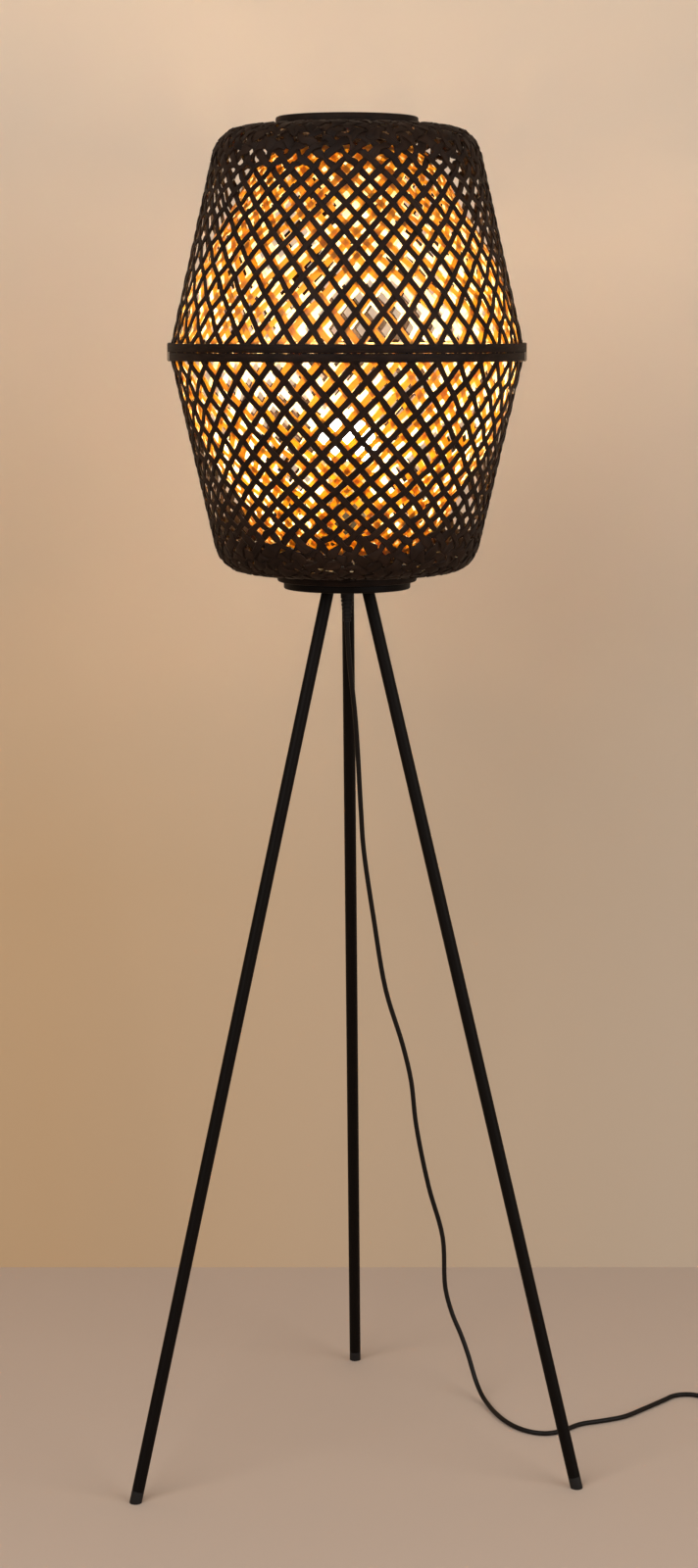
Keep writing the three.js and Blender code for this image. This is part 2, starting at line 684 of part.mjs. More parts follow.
const dishBlank = turned([
  [0, dishBottom],
  [DISH_RADIUS - DISH_EDGE, dishBottom],
  [DISH_RADIUS, dishBottom + DISH_EDGE],
  [DISH_RADIUS, dishTop],
  [DISH_RADIUS - DISH_WALL, dishTop],
  [DISH_RADIUS - DISH_WALL, dishBottom + DISH_FLOOR],
  [0, dishBottom + DISH_FLOOR],
], RIM_SIDES);
piece(lamp, 'base_dish', cut(dishBlank, stemHole, ...sockets), blackSteel);

const hubBlank = turned([
  [0, hubBottom],
  [HUB_RADIUS, hubBottom],
  [HUB_RADIUS, hubTop - HUB_CHAMFER],
  [HUB_RADIUS - HUB_CHAMFER, hubTop],
  [0, hubTop],
], BODY_SIDES);
piece(lamp, 'tripod_hub', cut(hubBlank, stemHole, ...sockets, ...studHoles), blackSteel);

// Spider: a ring on the hub with arms that step down onto the lower collar
const armEnd = COLLAR_RADIUS - COLLAR_EDGE;
const armDrop = collarSeat + COLLAR_HEIGHT + CLEARANCE - spiderBottom;

function spiderArm(azimuth) {
  const bend = HUB_RADIUS + SPIDER_BEND;
  const foot = COLLAR_RADIUS - COLLAR_WIDTH - SPIDER_FOOT;
  const side = new THREE.Shape([
    new THREE.Vector2(0, 0),
    new THREE.Vector2(bend, 0),
    new THREE.Vector2(foot, armDrop),
    new THREE.Vector2(armEnd, armDrop),
    new THREE.Vector2(armEnd, armDrop + SPIDER_THICKNESS),
    new THREE.Vector2(foot, armDrop + SPIDER_THICKNESS),
    new THREE.Vector2(bend, SPIDER_THICKNESS),
    new THREE.Vector2(0, SPIDER_THICKNESS),
  ]);
  return raised(side, -SPIDER_ARM_WIDTH / 2, SPIDER_ARM_WIDTH / 2)
    .rotateX(Math.PI / 2)
    .rotateZ(radians(azimuth));
}

const spiderBlank = join(
  rod(SPIDER_RING_RADIUS, 0, SPIDER_THICKNESS, BODY_SIDES),
  ...SPIDER_AZIMUTHS.map(spiderArm),
);
const spiderStemHole = rod(nippleBore, -OVERRUN, SPIDER_THICKNESS + OVERRUN, SMALL_SIDES);
const armHoles = screwHoles.map((hole) => hole.clone().translate(0, 0, armDrop - COLLAR_HEIGHT));
piece(lamp, 'shade_spider', cut(spiderBlank, spiderStemHole, ...armHoles), blackSteel)
  .position.z = spiderBottom;

const spiderScrew = turned([
  [0, SPIDER_THICKNESS - SCREW_LENGTH],
  [SCREW_RADIUS, SPIDER_THICKNESS - SCREW_LENGTH],
  [SCREW_RADIUS, SPIDER_THICKNESS + CLEARANCE],
  [SCREW_HEAD_RADIUS, SPIDER_THICKNESS + CLEARANCE],
  [SCREW_HEAD_RADIUS, SPIDER_THICKNESS + CLEARANCE + SCREW_HEAD_HEIGHT],
  [0, SPIDER_THICKNESS + CLEARANCE + SCREW_HEAD_HEIGHT],
], SCREW_SIDES);
SPIDER_AZIMUTHS.forEach((azimuth, i) => {
  const screw = piece(lamp, `spider_screw_${i + 1}`, spiderScrew, zincSteel);
  const angle = radians(azimuth);
  screw.position.set(
    screwCircle * Math.cos(angle),
    screwCircle * Math.sin(angle),
    spiderBottom + armDrop,
  );
});

// Stem, washer, nut and strain relief
piece(lamp, 'nipple',
  pipe(NIPPLE_RADIUS - NIPPLE_WALL, NIPPLE_RADIUS, nippleBottom, nippleTop, SMALL_SIDES), zincSteel);
piece(lamp, 'nipple_washer',
  pipe(nippleBore, WASHER_RADIUS, washerBottom, washerBottom + WASHER_THICKNESS, SMALL_SIDES), zincSteel);
const nutBlank = rod(NUT_RADIUS, nutBottom, nutBottom + NUT_HEIGHT, NUT_SIDES);
const nutHole = rod(nippleBore, nutBottom - OVERRUN, nutBottom + NUT_HEIGHT + OVERRUN, SMALL_SIDES);
piece(lamp, 'nipple_nut', cut(nutBlank, nutHole), zincSteel);

const reliefSeat = nippleBottom - CLEARANCE;
piece(lamp, 'strain_relief', turned([
  [nippleBore, reliefTop],
  [RELIEF_RADIUS, reliefTop],
  [RELIEF_RADIUS, reliefTop - RELIEF_SLEEVE],
  [cordBore + RELIEF_TIP_WALL, reliefBottom],
  [cordBore, reliefBottom],
  [cordBore, reliefSeat],
  [nippleBore, reliefSeat],
], SMALL_SIDES), blackRubber);

// Lamp holder
const holderBore = HOLDER_RADIUS - HOLDER_WALL;
piece(lamp, 'holder_cap', turned([
  [nippleBore, holderBottom],
  [HOLDER_NECK_RADIUS, holderBottom],
  [HOLDER_RADIUS, holderBottom + HOLDER_NECK_HEIGHT],
  [HOLDER_RADIUS, holderJoint],
  [holderBore - HOLDER_LIP, holderJoint],
  [holderBore - HOLDER_LIP, holderJoint - HOLDER_WALL],
  [holderBore, holderJoint - HOLDER_WALL * 2],
  [holderBore, holderBottom + HOLDER_NECK_HEIGHT + HOLDER_WALL],
  [HOLDER_NECK_RADIUS - HOLDER_WALL, holderBottom + HOLDER_WALL],
  [nippleBore, holderBottom + HOLDER_WALL],
], BODY_SIDES), blackPlastic);
piece(lamp, 'holder_body',
  pipe(holderBore, HOLDER_RADIUS, blockBottom, blockBottom + HOLDER_BODY_HEIGHT, BODY_SIDES),
  blackPlastic);

const terminalSides = [-1, 1];
const blockBlank = rod(holderBore - CLEARANCE, blockBottom, blockTop, BODY_SIDES);
const terminalHoles = terminalSides.map((side) =>
  rod(TERMINAL_RADIUS + CLEARANCE, blockBottom - OVERRUN, blockTop + OVERRUN, SCREW_SIDES)
    .translate(side * TERMINAL_OFFSET, 0, 0));
piece(lamp, 'terminal_block', cut(blockBlank, ...terminalHoles), whitePlastic);

const shellBore = BULB_CAP_RADIUS + CLEARANCE;
const shellBottom = blockTop + CLEARANCE;
piece(lamp, 'screw_shell',
  pipe(shellBore, shellBore + SCREW_SHELL_WALL, shellBottom, shellBottom + SCREW_SHELL_HEIGHT, BODY_SIDES),
  brass);
piece(lamp, 'centre_contact',
  rod(CONTACT_RADIUS, shellBottom, shellBottom + CONTACT_HEIGHT, SMALL_SIDES), brass);

const headTop = blockBottom - CLEARANCE;
const terminalScrew = turned([
  [0, headTop - TERMINAL_HEAD_HEIGHT],
  [TERMINAL_HEAD_RADIUS, headTop - TERMINAL_HEAD_HEIGHT],
  [TERMINAL_HEAD_RADIUS, headTop],
  [TERMINAL_RADIUS, headTop],
  [TERMINAL_RADIUS, headTop + TERMINAL_LENGTH],
  [0, headTop + TERMINAL_LENGTH],
], SCREW_SIDES);

const innerCordTop = nippleTop + CLEARANCE;
const leads = [['neutral', blueWire], ['live', brownWire]];
leads.forEach(([name, material], i) => {
  const side = terminalSides[i];
  const start = side * (LEAD_RADIUS + CLEARANCE);
  const end = side * TERMINAL_OFFSET;
  const [low, high] = [innerCordTop + CLEARANCE, headTop - TERMINAL_HEAD_HEIGHT - CLEARANCE];
  const rise = (high - low) / 3;
  piece(lamp, `terminal_screw_${name}`, terminalScrew, brass).position.x = end;
  piece(lamp, `lead_${name}`, swept([
    [start, 0, low], [start, 0, low + rise], [end, 0, high - rise], [end, 0, high],
  ], LEAD_RADIUS, CORD_SIDES, LEAD_STEPS), material);
});
piece(lamp, 'cord_in_stem',
  rod(CORD_RADIUS, reliefBottom + CLEARANCE, innerCordTop, SMALL_SIDES), blackRubber);

// Bulb: cap, housing, LED plate and globe, screwed in until its tip meets the contact
const capTop = bulbBottom + BULB_CAP_HEIGHT;
const capFloor = bulbBottom + BULB_TIP_HEIGHT + BULB_TIP_CONE;
const globeMiddle = bulbBottom + BULB_LENGTH - BULB_RADIUS;
const seamHeight = globeMiddle - BULB_SEAM_DROP;
const seamRadius = Math.sqrt(BULB_RADIUS ** 2 - BULB_SEAM_DROP ** 2);
const neckBore = BULB_CAP_RADIUS - BULB_CAP_WALL - CLEARANCE;

piece(lamp, 'bulb_cap', turned([
  [0, bulbBottom],
  [BULB_TIP_RADIUS, bulbBottom],
  [BULB_TIP_RADIUS, bulbBottom + BULB_TIP_HEIGHT],
  [BULB_CAP_RADIUS, capFloor],
  [BULB_CAP_RADIUS, capTop],
  [BULB_CAP_RADIUS - BULB_CAP_WALL, capTop],
  [BULB_CAP_RADIUS - BULB_CAP_WALL, capFloor + BULB_CAP_FLOOR],
  [0, capFloor + BULB_CAP_FLOOR],
], BODY_SIDES), zincSteel);

const housingSeat = capTop + CLEARANCE;
const housingTop = seamHeight - CLEARANCE;
piece(lamp, 'bulb_housing', turned([
  [neckBore - BULB_WALL, capTop - BULB_NECK_DEPTH],
  [neckBore, capTop - BULB_NECK_DEPTH],
  [neckBore, housingSeat],
  [BULB_NECK_RADIUS, housingSeat],
  [seamRadius, housingTop],
  [seamRadius - BULB_WALL, housingTop],
  [neckBore - BULB_WALL, housingSeat],
], BODY_SIDES), whitePlastic);

const plateBottom = housingTop - LED_PLATE_DROP;
const boreShare = (plateBottom - housingSeat) / (housingTop - housingSeat);
const plateRadius = neckBore - BULB_WALL + (seamRadius - neckBore) * boreShare - CLEARANCE;
piece(lamp, 'led_plate',
  rod(plateRadius, plateBottom, plateBottom + LED_PLATE_THICKNESS, BODY_SIDES), whitePlastic);

function globe() {
  const arc = (radius) => {
    const low = Math.asin(-BULB_SEAM_DROP / BULB_RADIUS);
    return Array.from({ length: GLOBE_STEPS + 1 }, (_, i) => {
      const angle = Math.PI / 2 + ((low - Math.PI / 2) * i) / GLOBE_STEPS;
      const across = i === 0 ? 0 : radius * Math.cos(angle);
      return [across, globeMiddle + radius * Math.sin(angle)];
    });
  };
  return turned([...arc(BULB_RADIUS), ...arc(BULB_RADIUS - BULB_WALL).reverse()], BODY_SIDES);
}
piece(lamp, 'bulb_globe', globe(), opalPlastic);

// The lamp stands with the middle of its outer size over the origin
const standing = new THREE.Box3().setFromObject(lamp, true);
const axisPlace = standing.getCenter(new THREE.Vector3()).negate().setZ(0);

// Foot switch on the cord, about the middle of its own underside
const cordLine = new THREE.Group();
const footSwitch = new THREE.Group();
footSwitch.position.set(...SWITCH_PLACE, 0);
cordLine.add(footSwitch);

const coverBottom = SWITCH_BASE_THICKNESS + CLEARANCE;
const coverInside = SWITCH_HEIGHT - SWITCH_WALL;
const pillarPlaces = [-1, 1].map((side) => side * (SWITCH_LENGTH / 2 - SWITCH_PILLAR_INSET));

function switchCover() {
  const outside = raised(
    roundedRectangle(SWITCH_LENGTH, SWITCH_WIDTH, SWITCH_CORNER), coverBottom, SWITCH_HEIGHT);
  const hollow = raised(
    roundedRectangle(SWITCH_LENGTH - 2 * SWITCH_WALL, SWITCH_WIDTH - 2 * SWITCH_WALL,
      SWITCH_CORNER - SWITCH_WALL), coverBottom - OVERRUN, coverInside);
  const window = raised(
    roundedRectangle(BUTTON_LENGTH + 2 * CLEARANCE, BUTTON_WIDTH + 2 * CLEARANCE,
      BUTTON_CORNER + CLEARANCE), coverInside - OVERRUN, SWITCH_HEIGHT + OVERRUN);
  const cordHole = rod(cordBore, -SWITCH_LENGTH, SWITCH_LENGTH, SMALL_SIDES)
    .rotateY(Math.PI / 2)
    .translate(0, 0, SWITCH_CORD_HEIGHT);
  const shell = cut(outside, hollow, window, cordHole);
  const pillars = pillarPlaces.map((x) => {
    const y = SWITCH_WIDTH / 2 - SWITCH_PILLAR_INSET;
    return rod(SWITCH_PILLAR_RADIUS, coverBottom, SWITCH_HEIGHT - SWITCH_WALL / 2, SCREW_SIDES)
      .translate(x, y, 0);
  });
  const pilots = pillarPlaces.map((x) => {
    const y = SWITCH_WIDTH / 2 - SWITCH_PILLAR_INSET;
    return rod(SCREW_RADIUS + CLEARANCE, 0, coverBottom + SCREW_LENGTH + OVERRUN, SCREW_SIDES)
      .translate(x, y, 0);
  });
  return cut(join(shell, ...pillars), ...pilots);
}
piece(footSwitch, 'switch_cover', switchCover(), blackPlastic);

const pillarLine = SWITCH_WIDTH / 2 - SWITCH_PILLAR_INSET;
const baseBlank = raised(
  roundedRectangle(SWITCH_LENGTH, SWITCH_WIDTH, SWITCH_CORNER), 0, SWITCH_BASE_THICKNESS);
const baseHoles = pillarPlaces.flatMap((x) => [
  rod(SCREW_RADIUS + CLEARANCE, -OVERRUN, coverBottom, SCREW_SIDES).translate(x, pillarLine, 0),
  rod(SCREW_HEAD_RADIUS + CLEARANCE, -OVERRUN, SCREW_HEAD_HEIGHT + CLEARANCE, SCREW_SIDES)
    .translate(x, pillarLine, 0),
]);
piece(footSwitch, 'switch_base', cut(baseBlank, ...baseHoles), blackPlastic);

const switchScrew = turned([
  [0, CLEARANCE / 2],
  [SCREW_HEAD_RADIUS, CLEARANCE / 2],
  [SCREW_HEAD_RADIUS, SCREW_HEAD_HEIGHT],
  [SCREW_RADIUS, SCREW_HEAD_HEIGHT],
  [SCREW_RADIUS, coverBottom + SCREW_LENGTH],
  [0, coverBottom + SCREW_LENGTH],
], SCREW_SIDES);
pillarPlaces.forEach((x, i) => {
  piece(footSwitch, `switch_screw_${i + 1}`, switchScrew, zincSteel).position.set(x, pillarLine, 0);
});

// The button slides down by its travel; its flange catches under the cover
const flangeTop = coverInside - CLEARANCE;
const flangeBottom = flangeTop - BUTTON_FLANGE;
const buttonCap = raised(
  roundedRectangle(BUTTON_LENGTH, BUTTON_WIDTH, BUTTON_CORNER), flangeBottom, SWITCH_HEIGHT + BUTTON_RISE);
const buttonFlange = raised(
  roundedRectangle(BUTTON_LENGTH + 2 * SWITCH_WALL, BUTTON_WIDTH + 2 * SWITCH_WALL,
    BUTTON_CORNER + SWITCH_WALL), flangeBottom, flangeTop);
piece(footSwitch, 'switch_button', join(buttonCap, buttonFlange), blackPlastic);

piece(footSwitch, 'switch_spring',
  pipe(BUTTON_SPRING_RADIUS - BUTTON_SPRING_WIRE, BUTTON_SPRING_RADIUS,
    SWITCH_BASE_THICKNESS + CLEARANCE, flangeBottom - CLEARANCE, SMALL_SIDES), zincSteel);

// The pressed button's flange comes down onto the contact
const [contactLength, contactWidth] = SWITCH_CONTACT_SIZE;
const contactHeight = flangeBottom - BUTTON_TRAVEL - CLEARANCE - coverBottom;
piece(footSwitch, 'switch_contact',
  new THREE.BoxGeometry(contactLength, contactWidth, contactHeight)
    .translate(-BUTTON_SPRING_RADIUS - contactLength, 0, coverBottom + contactHeight / 2), brass);

// Free stretch of the cord, from the strain relief to the switch
const [switchX, switchY] = SWITCH_PLACE;
const cordFloor = CORD_RADIUS + CORD_LIFT;
const cordStart = reliefBottom - CLEARANCE;
const nearEnd = switchX - SWITCH_LENGTH / 2 - CLEARANCE;
const cordPoints = [
  [0, 0, cordStart],
  [0, 0, cordStart - 2 * CORD_RADIUS],
  ...CORD_ROUTE,
  [nearEnd - 2 * CORD_RADIUS, switchY, SWITCH_CORD_HEIGHT],
  [nearEnd, switchY, SWITCH_CORD_HEIGHT],
];
piece(cordLine, 'mains_cord', swept(cordPoints, CORD_RADIUS, CORD_SIDES, CORD_STEPS), blackRubber);

// Coil: it spirals in on the floor, climbs a layer while it turns back, and spirals out again
const farEnd = switchX + SWITCH_LENGTH / 2 + CLEARANCE;
const coilMiddle = [farEnd + COIL_LEAD, switchY - COIL_RADIUS];
const coilTurns = 2 * COIL_TURNS + COIL_REVERSE_TURNS;
const plugBack = coilMiddle[0] - PLUG_GAP;
const plugHeight = PLUG_THICKNESS / 2;

function coilPoint(turn) {
  const drawnIn = Math.min(turn, coilTurns - turn);
  const radius = COIL_RADIUS - COIL_PITCH * drawnIn;
  const climb = THREE.MathUtils.smoothstep(turn, COIL_TURNS, COIL_TURNS + COIL_REVERSE_TURNS);
  const angle = Math.PI / 2 - 2 * Math.PI * turn;
  return [
    coilMiddle[0] + radius * Math.cos(angle),
    coilMiddle[1] + radius * Math.sin(angle),
    cordFloor + COIL_PITCH * climb,
  ];
}

const coilCount = Math.round(coilTurns * COIL_STEPS_PER_TURN);
const coilPoints = Array.from({ length: coilCount + 1 }, (_, i) => coilPoint(i / COIL_STEPS_PER_TURN));
const coilEnd = coilPoints.at(-1);
const coilRoute = [
  [farEnd, switchY, SWITCH_CORD_HEIGHT],
  [farEnd + 2 * CORD_RADIUS, switchY, SWITCH_CORD_HEIGHT],
  [farEnd + COIL_LEAD / 2, switchY, (SWITCH_CORD_HEIGHT + cordFloor) / 2],
  ...coilPoints,
  [(coilEnd[0] + plugBack) / 2, coilEnd[1], (coilEnd[2] + plugHeight) / 2],
  [plugBack + CLEARANCE + 2 * CORD_RADIUS, coilEnd[1], plugHeight],
  [plugBack + CLEARANCE, coilEnd[1], plugHeight],
];
const coilSteps = coilCount + COIL_STEPS_PER_TURN / 2;
piece(cordLine, 'cord_coil', swept(coilRoute, CORD_RADIUS, COIL_SIDES, coilSteps), blackRubber);

// Least gap of the coil to itself, between points more than a third of a turn apart
function leastGap() {
  const apart = Math.round(COIL_STEPS_PER_TURN / 3);
  const points = coilRoute.map((point) => new THREE.Vector3(...point));
  let least = Infinity;
  for (let i = 0; i < points.length; i += 1) {
    for (let k = i + apart; k < points.length; k += 1) {
      least = Math.min(least, points[i].distanceTo(points[k]));
    }
  }
  return least - 2 * CORD_RADIUS;
}
console.log(`least gap of the coil to itself: ${leastGap().toFixed(2)} mm`);

// Plug, lying flat, its pins away from the coil
const mainsPlug = new THREE.Group();
mainsPlug.position.set(plugBack, coilEnd[1], 0);
mainsPlug.rotation.z = Math.PI;
cordLine.add(mainsPlug);

function plugOutline() {
  const shoulder = PLUG_LENGTH * (1 - PLUG_SHOULDER_SHARE);
  const [neck, side] = [PLUG_NECK_WIDTH / 2, PLUG_WIDTH / 2];
  const shape = new THREE.Shape();
  shape.moveTo(0, -neck);
  shape.quadraticCurveTo(shoulder / 2, -neck, shoulder, -side);
  shape.lineTo(PLUG_LENGTH - PLUG_CORNER, -side);
  shape.quadraticCurveTo(PLUG_LENGTH, -side, PLUG_LENGTH, PLUG_CORNER - side);
  shape.lineTo(PLUG_LENGTH, side - PLUG_CORNER);
  shape.quadraticCurveTo(PLUG_LENGTH, side, PLUG_LENGTH - PLUG_CORNER, side);
  shape.lineTo(shoulder, side);
  shape.quadraticCurveTo(shoulder / 2, neck, 0, neck);
  return shape;
}

const pinPlaces = [-PIN_SPACING / 2, PIN_SPACING / 2];
const alongPin = (radius, low, high) =>
  rod(radius, low, high, SMALL_SIDES).rotateY(Math.PI / 2).translate(0, 0, plugHeight);
const pinHoles = pinPlaces.map((y) =>
  alongPin(PIN_RADIUS + CLEARANCE, PLUG_LENGTH - PIN_SEAT - CLEARANCE, PLUG_LENGTH + OVERRUN)
    .translate(0, y, 0));
piece(mainsPlug, 'plug_body', cut(raised(plugOutline(), 0, PLUG_THICKNESS), ...pinHoles), blackPlastic);
pinPlaces.forEach((y, i) => {
  piece(mainsPlug, `plug_pin_${i + 1}`,
    alongPin(PIN_RADIUS, PLUG_LENGTH - PIN_SEAT, PLUG_LENGTH + PIN_LENGTH), brass).position.y = y;
});

const floorLamp = new THREE.Group();
floorLamp.name = 'rattan_floor_lamp';
for (const group of [lamp, cordLine]) {
  group.position.copy(axisPlace);
  floorLamp.add(group);
}

export default floorLamp;
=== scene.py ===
"""Rattan floor lamp: a two-layer woven shade on a steel tripod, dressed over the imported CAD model."""

import math

import bmesh
import bpy
from mathutils import Matrix, Vector


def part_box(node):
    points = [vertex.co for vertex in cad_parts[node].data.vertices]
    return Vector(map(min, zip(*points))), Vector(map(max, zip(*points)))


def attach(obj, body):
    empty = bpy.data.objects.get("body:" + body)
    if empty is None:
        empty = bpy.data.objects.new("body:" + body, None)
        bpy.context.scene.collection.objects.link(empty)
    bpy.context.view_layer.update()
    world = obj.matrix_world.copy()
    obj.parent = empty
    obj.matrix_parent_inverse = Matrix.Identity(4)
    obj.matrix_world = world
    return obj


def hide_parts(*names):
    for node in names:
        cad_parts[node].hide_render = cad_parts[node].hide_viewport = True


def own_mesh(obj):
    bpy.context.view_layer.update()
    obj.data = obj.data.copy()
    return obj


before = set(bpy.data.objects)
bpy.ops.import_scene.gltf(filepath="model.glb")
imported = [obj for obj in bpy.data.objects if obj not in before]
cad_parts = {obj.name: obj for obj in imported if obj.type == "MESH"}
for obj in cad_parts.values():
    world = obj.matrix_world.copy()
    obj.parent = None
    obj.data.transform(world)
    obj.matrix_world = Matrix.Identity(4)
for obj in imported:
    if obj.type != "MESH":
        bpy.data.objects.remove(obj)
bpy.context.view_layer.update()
scene = bpy.context.scene
scene.view_settings.view_transform = "Standard"

# The camera stands 2.9 m in front of the lamp, a little above the middle of the shade, and looks slightly
# down, as in the photograph. The lamp's own axis is the middle of its upper collar.
PHOTO_HEIGHT = 1600  # pixels
FOCAL_LENGTH = 2911  # pixels
SENSOR = 36
CAMERA_PLACE = (0.002, -2.927, 1.1906)  # from the lamp's axis
CAMERA_PITCH = math.radians(9.065)

collar_low, collar_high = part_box("upper_collar")
axis = (collar_low + collar_high) / 2
axis.z = 0


def from_axis(x, y, z):
    """A point of the row frame in metres, from millimetres measured from the lamp's axis."""
    return axis + Vector((x, y, z)) / 1000


def add_object(name, data):
    """A new object of the scene."""
    added = bpy.data.objects.new(name, data)
    scene.collection.objects.link(added)
    return added


camera_data = bpy.data.cameras.new("camera")
camera_data.sensor_width = SENSOR
camera_data.lens = FOCAL_LENGTH * SENSOR / PHOTO_HEIGHT
camera = add_object("camera", camera_data)
camera.location = axis + Vector(CAMERA_PLACE)
camera.rotation_euler = (math.pi / 2 - CAMERA_PITCH, 0, 0)
scene.camera = camera

# Mains cord: a round black PVC lead, 5.2 mm thick. It hangs from the strain relief under the dish, runs
# down behind the right leg and over the floor to a foot switch, and ends in a small coil with a plug.
CORD_RADIUS = 2.6
CORD_ROUTE = [
    (2, 6, 855), (9, 24, 785), (14.5, 46, 690), (17.5, 62, 644), (28.5, 84, 564), (42, 105, 480),
    (61, 121, 414), (70.5, 130, 371), (76.5, 141, 318), (91, 156, 243), (107.5, 166, 180),
    (111, 170, 119), (119, 168, 89), (128.5, 163, 67), (136, 157, 47), (145, 145, 19), (151, 131, 8),
    (156, 117, 4), (166.5, 83, 2.8), (182, 51.4, 2.8), (201, 33.4, 2.8), (218, 29.6, 2.8), (234, 36.6, 2.8),
    (256, 56, 2.8), (281, 66, 2.8), (306, 78, 2.8), (331, 102, 2.8), (356, 128, 2.8), (367, 139.7, 2.8),
    (378.2, 144.3, 2.8), (389.5, 143.8, 2.8), (399.6, 138, 2.8), (406.3, 127.5, 2.8), (409, 111.6, 3.4),
    (413.5, 103.6, 4.8), (421.1, 97.7, 7),
]
CLEARANCE = 0.3  # between pieces that touch
SWITCH_PLACE = (474, 95)
SWITCH_LENGTH = 74
SWITCH_CORD_HEIGHT = 9.5
CORD_FLOOR = 2.8  # height of the cord's middle where it lies on the floor
COIL_RADIUS = 36
COIL_PITCH = 5.9
COIL_TURNS = 1.5  # in each of its two layers
COIL_REVERSE_TURNS = 0.5
COIL_LEAD = 49  # from the switch to the middle of the coil
COIL_STEPS_PER_TURN = 24
PLUG_GAP = 45  # from the middle of the coil to the back of the plug
PLUG_THICKNESS = 13.7
ROUTE_STEPS, COIL_ROUTE_STEPS = 6, 2  # points of the smooth line for each one of the route


def levels(node):
    """The lowest and the highest point of a CAD node above the floor, in millimetres."""
    low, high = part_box(node)
    return low.z * 1000, high.z * 1000


def smooth_line(points, steps):
    """A centripetal Catmull-Rom line through the points, with its ends extended straight."""
    known = [2 * points[0] - points[1], *points, 2 * points[-1] - points[-2]]
    line = []
    for before, start, end, after in zip(known, known[1:], known[2:], known[3:]):
        pairs = (before, start), (start, end), (end, after)
        first, middle, last = (math.sqrt((b - a).length) for a, b in pairs)
        out = (start - before) / first - (end - before) / (first + middle) + (end - start) / middle
        into = (end - start) / middle - (after - start) / (middle + last) + (after - end) / last
        out, into = out * middle, into * middle
        for step in range(steps):
            t = step / steps
            line.append(
                start + out * t
                + (3 * (end - start) - 2 * out - into) * t * t
                + (2 * (start - end) + out + into) * t * t * t
            )
    return [*line, points[-1]]


def cord_curve(name, route, steps):
    """A round cord along a route in millimetres from the lamp's axis, and its length."""
    points = smooth_line([from_axis(*point) for point in route], steps)
    data = bpy.data.curves.new(name, "CURVE")
    data.dimensions = "3D"
    data.bevel_depth = CORD_RADIUS / 1000
    data.bevel_resolution = 4
    data.use_fill_caps = True
    spline = data.splines.new("POLY")
    spline.points.add(len(points) - 1)
    for target, point in zip(spline.points, points):
        target.co = (*point, 1)
    spline.use_smooth = True
    return add_object(name, data), sum((b - a).length for a, b in zip(points, points[1:]))


cord_start = levels("strain_relief")[0] - CLEARANCE
switch_x, switch_y = SWITCH_PLACE
switch_near = switch_x - SWITCH_LENGTH / 2 - CLEARANCE
switch_far = switch_x + SWITCH_LENGTH / 2 + CLEARANCE
coil_middle = switch_far + COIL_LEAD
plug_back = coil_middle - PLUG_GAP
plug_height = PLUG_THICKNESS / 2


def coil_point(turn):
    """A point of the coil, which spirals in on the floor, climbs a layer and spirals out again."""
    turns = 2 * COIL_TURNS + COIL_REVERSE_TURNS
    radius = COIL_RADIUS - COIL_PITCH * min(turn, turns - turn)
    climb = min(max((turn - COIL_TURNS) / COIL_REVERSE_TURNS, 0), 1)
    angle = math.pi / 2 - 2 * math.pi * turn
    return (
        coil_middle + radius * math.cos(angle),
        switch_y - COIL_RADIUS + radius * math.sin(angle),
        CORD_FLOOR + COIL_PITCH * climb * climb * (3 - 2 * climb),
    )


coil_count = round((2 * COIL_TURNS + COIL_REVERSE_TURNS) * COIL_STEPS_PER_TURN)
coil_points = [coil_point(i / COIL_STEPS_PER_TURN) for i in range(coil_count + 1)]
_, plug_y, coil_top = coil_points[-1]

mains_cord, mains_length = cord_curve("supply_cord", [
    (0, 0, cord_start),
    (0, 0, cord_start - 2 * CORD_RADIUS),
    *CORD_ROUTE,
    (switch_near - 2 * CORD_RADIUS, switch_y, SWITCH_CORD_HEIGHT),
    (switch_near, switch_y, SWITCH_CORD_HEIGHT),
], ROUTE_STEPS)
coil_cord, coil_length = cord_curve("coiled_cord", [
    (switch_far, switch_y, SWITCH_CORD_HEIGHT),
    (switch_far + 2 * CORD_RADIUS, switch_y, SWITCH_CORD_HEIGHT),
    (switch_far + COIL_LEAD / 2, switch_y, (SWITCH_CORD_HEIGHT + CORD_FLOOR) / 2),
    *coil_points,
    ((coil_middle + plug_back) / 2, plug_y, (coil_top + plug_height) / 2),
    (plug_back + 2 * CORD_RADIUS + CLEARANCE, plug_y, plug_height),
    (plug_back + CLEARANCE, plug_y, plug_height),
], COIL_ROUTE_STEPS)

# Cord jacket: matt black PVC, extruded over the wires as one sleeve, so that its surface is faintly uneven.
# The short length of cord inside the stem has the same jacket.
PVC_BLACK = (0.0055, 0.0036, 0.0028, 1)


def feed(node, inputs):
    """Gives a node its inputs, as values or as the outputs of other nodes."""
    for key, value in inputs.items():
        if isinstance(value, bpy.types.NodeSocket):
            node.id_data.links.new(value, node.inputs[key])
        else:
            node.inputs[key].default_value = value


def add_node(tree, kind, inputs=None, **settings):
    """A new node of a tree with these inputs and settings."""
    node = tree.nodes.new(kind)
    for name, value in settings.items():
        setattr(node, name, value)
    feed(node, inputs or {})
    return node


def maths(tree, operation, *values):
    """The result of a Math node."""
    return add_node(tree, "ShaderNodeMath", dict(enumerate(values)), operation=operation).outputs[0]


def plain_material(name, colour, roughness, metallic=0.0, specular=0.5):
    """A material with one Principled shader, and that shader."""
    material = bpy.data.materials.new(name)
    material.use_nodes = True
    shader = material.node_tree.nodes["Principled BSDF"]
    feed(shader, {
        "Base Color": colour, "Roughness": roughness, "Metallic": metallic, "Specular IOR Level": specular,
    })
    return material, shader


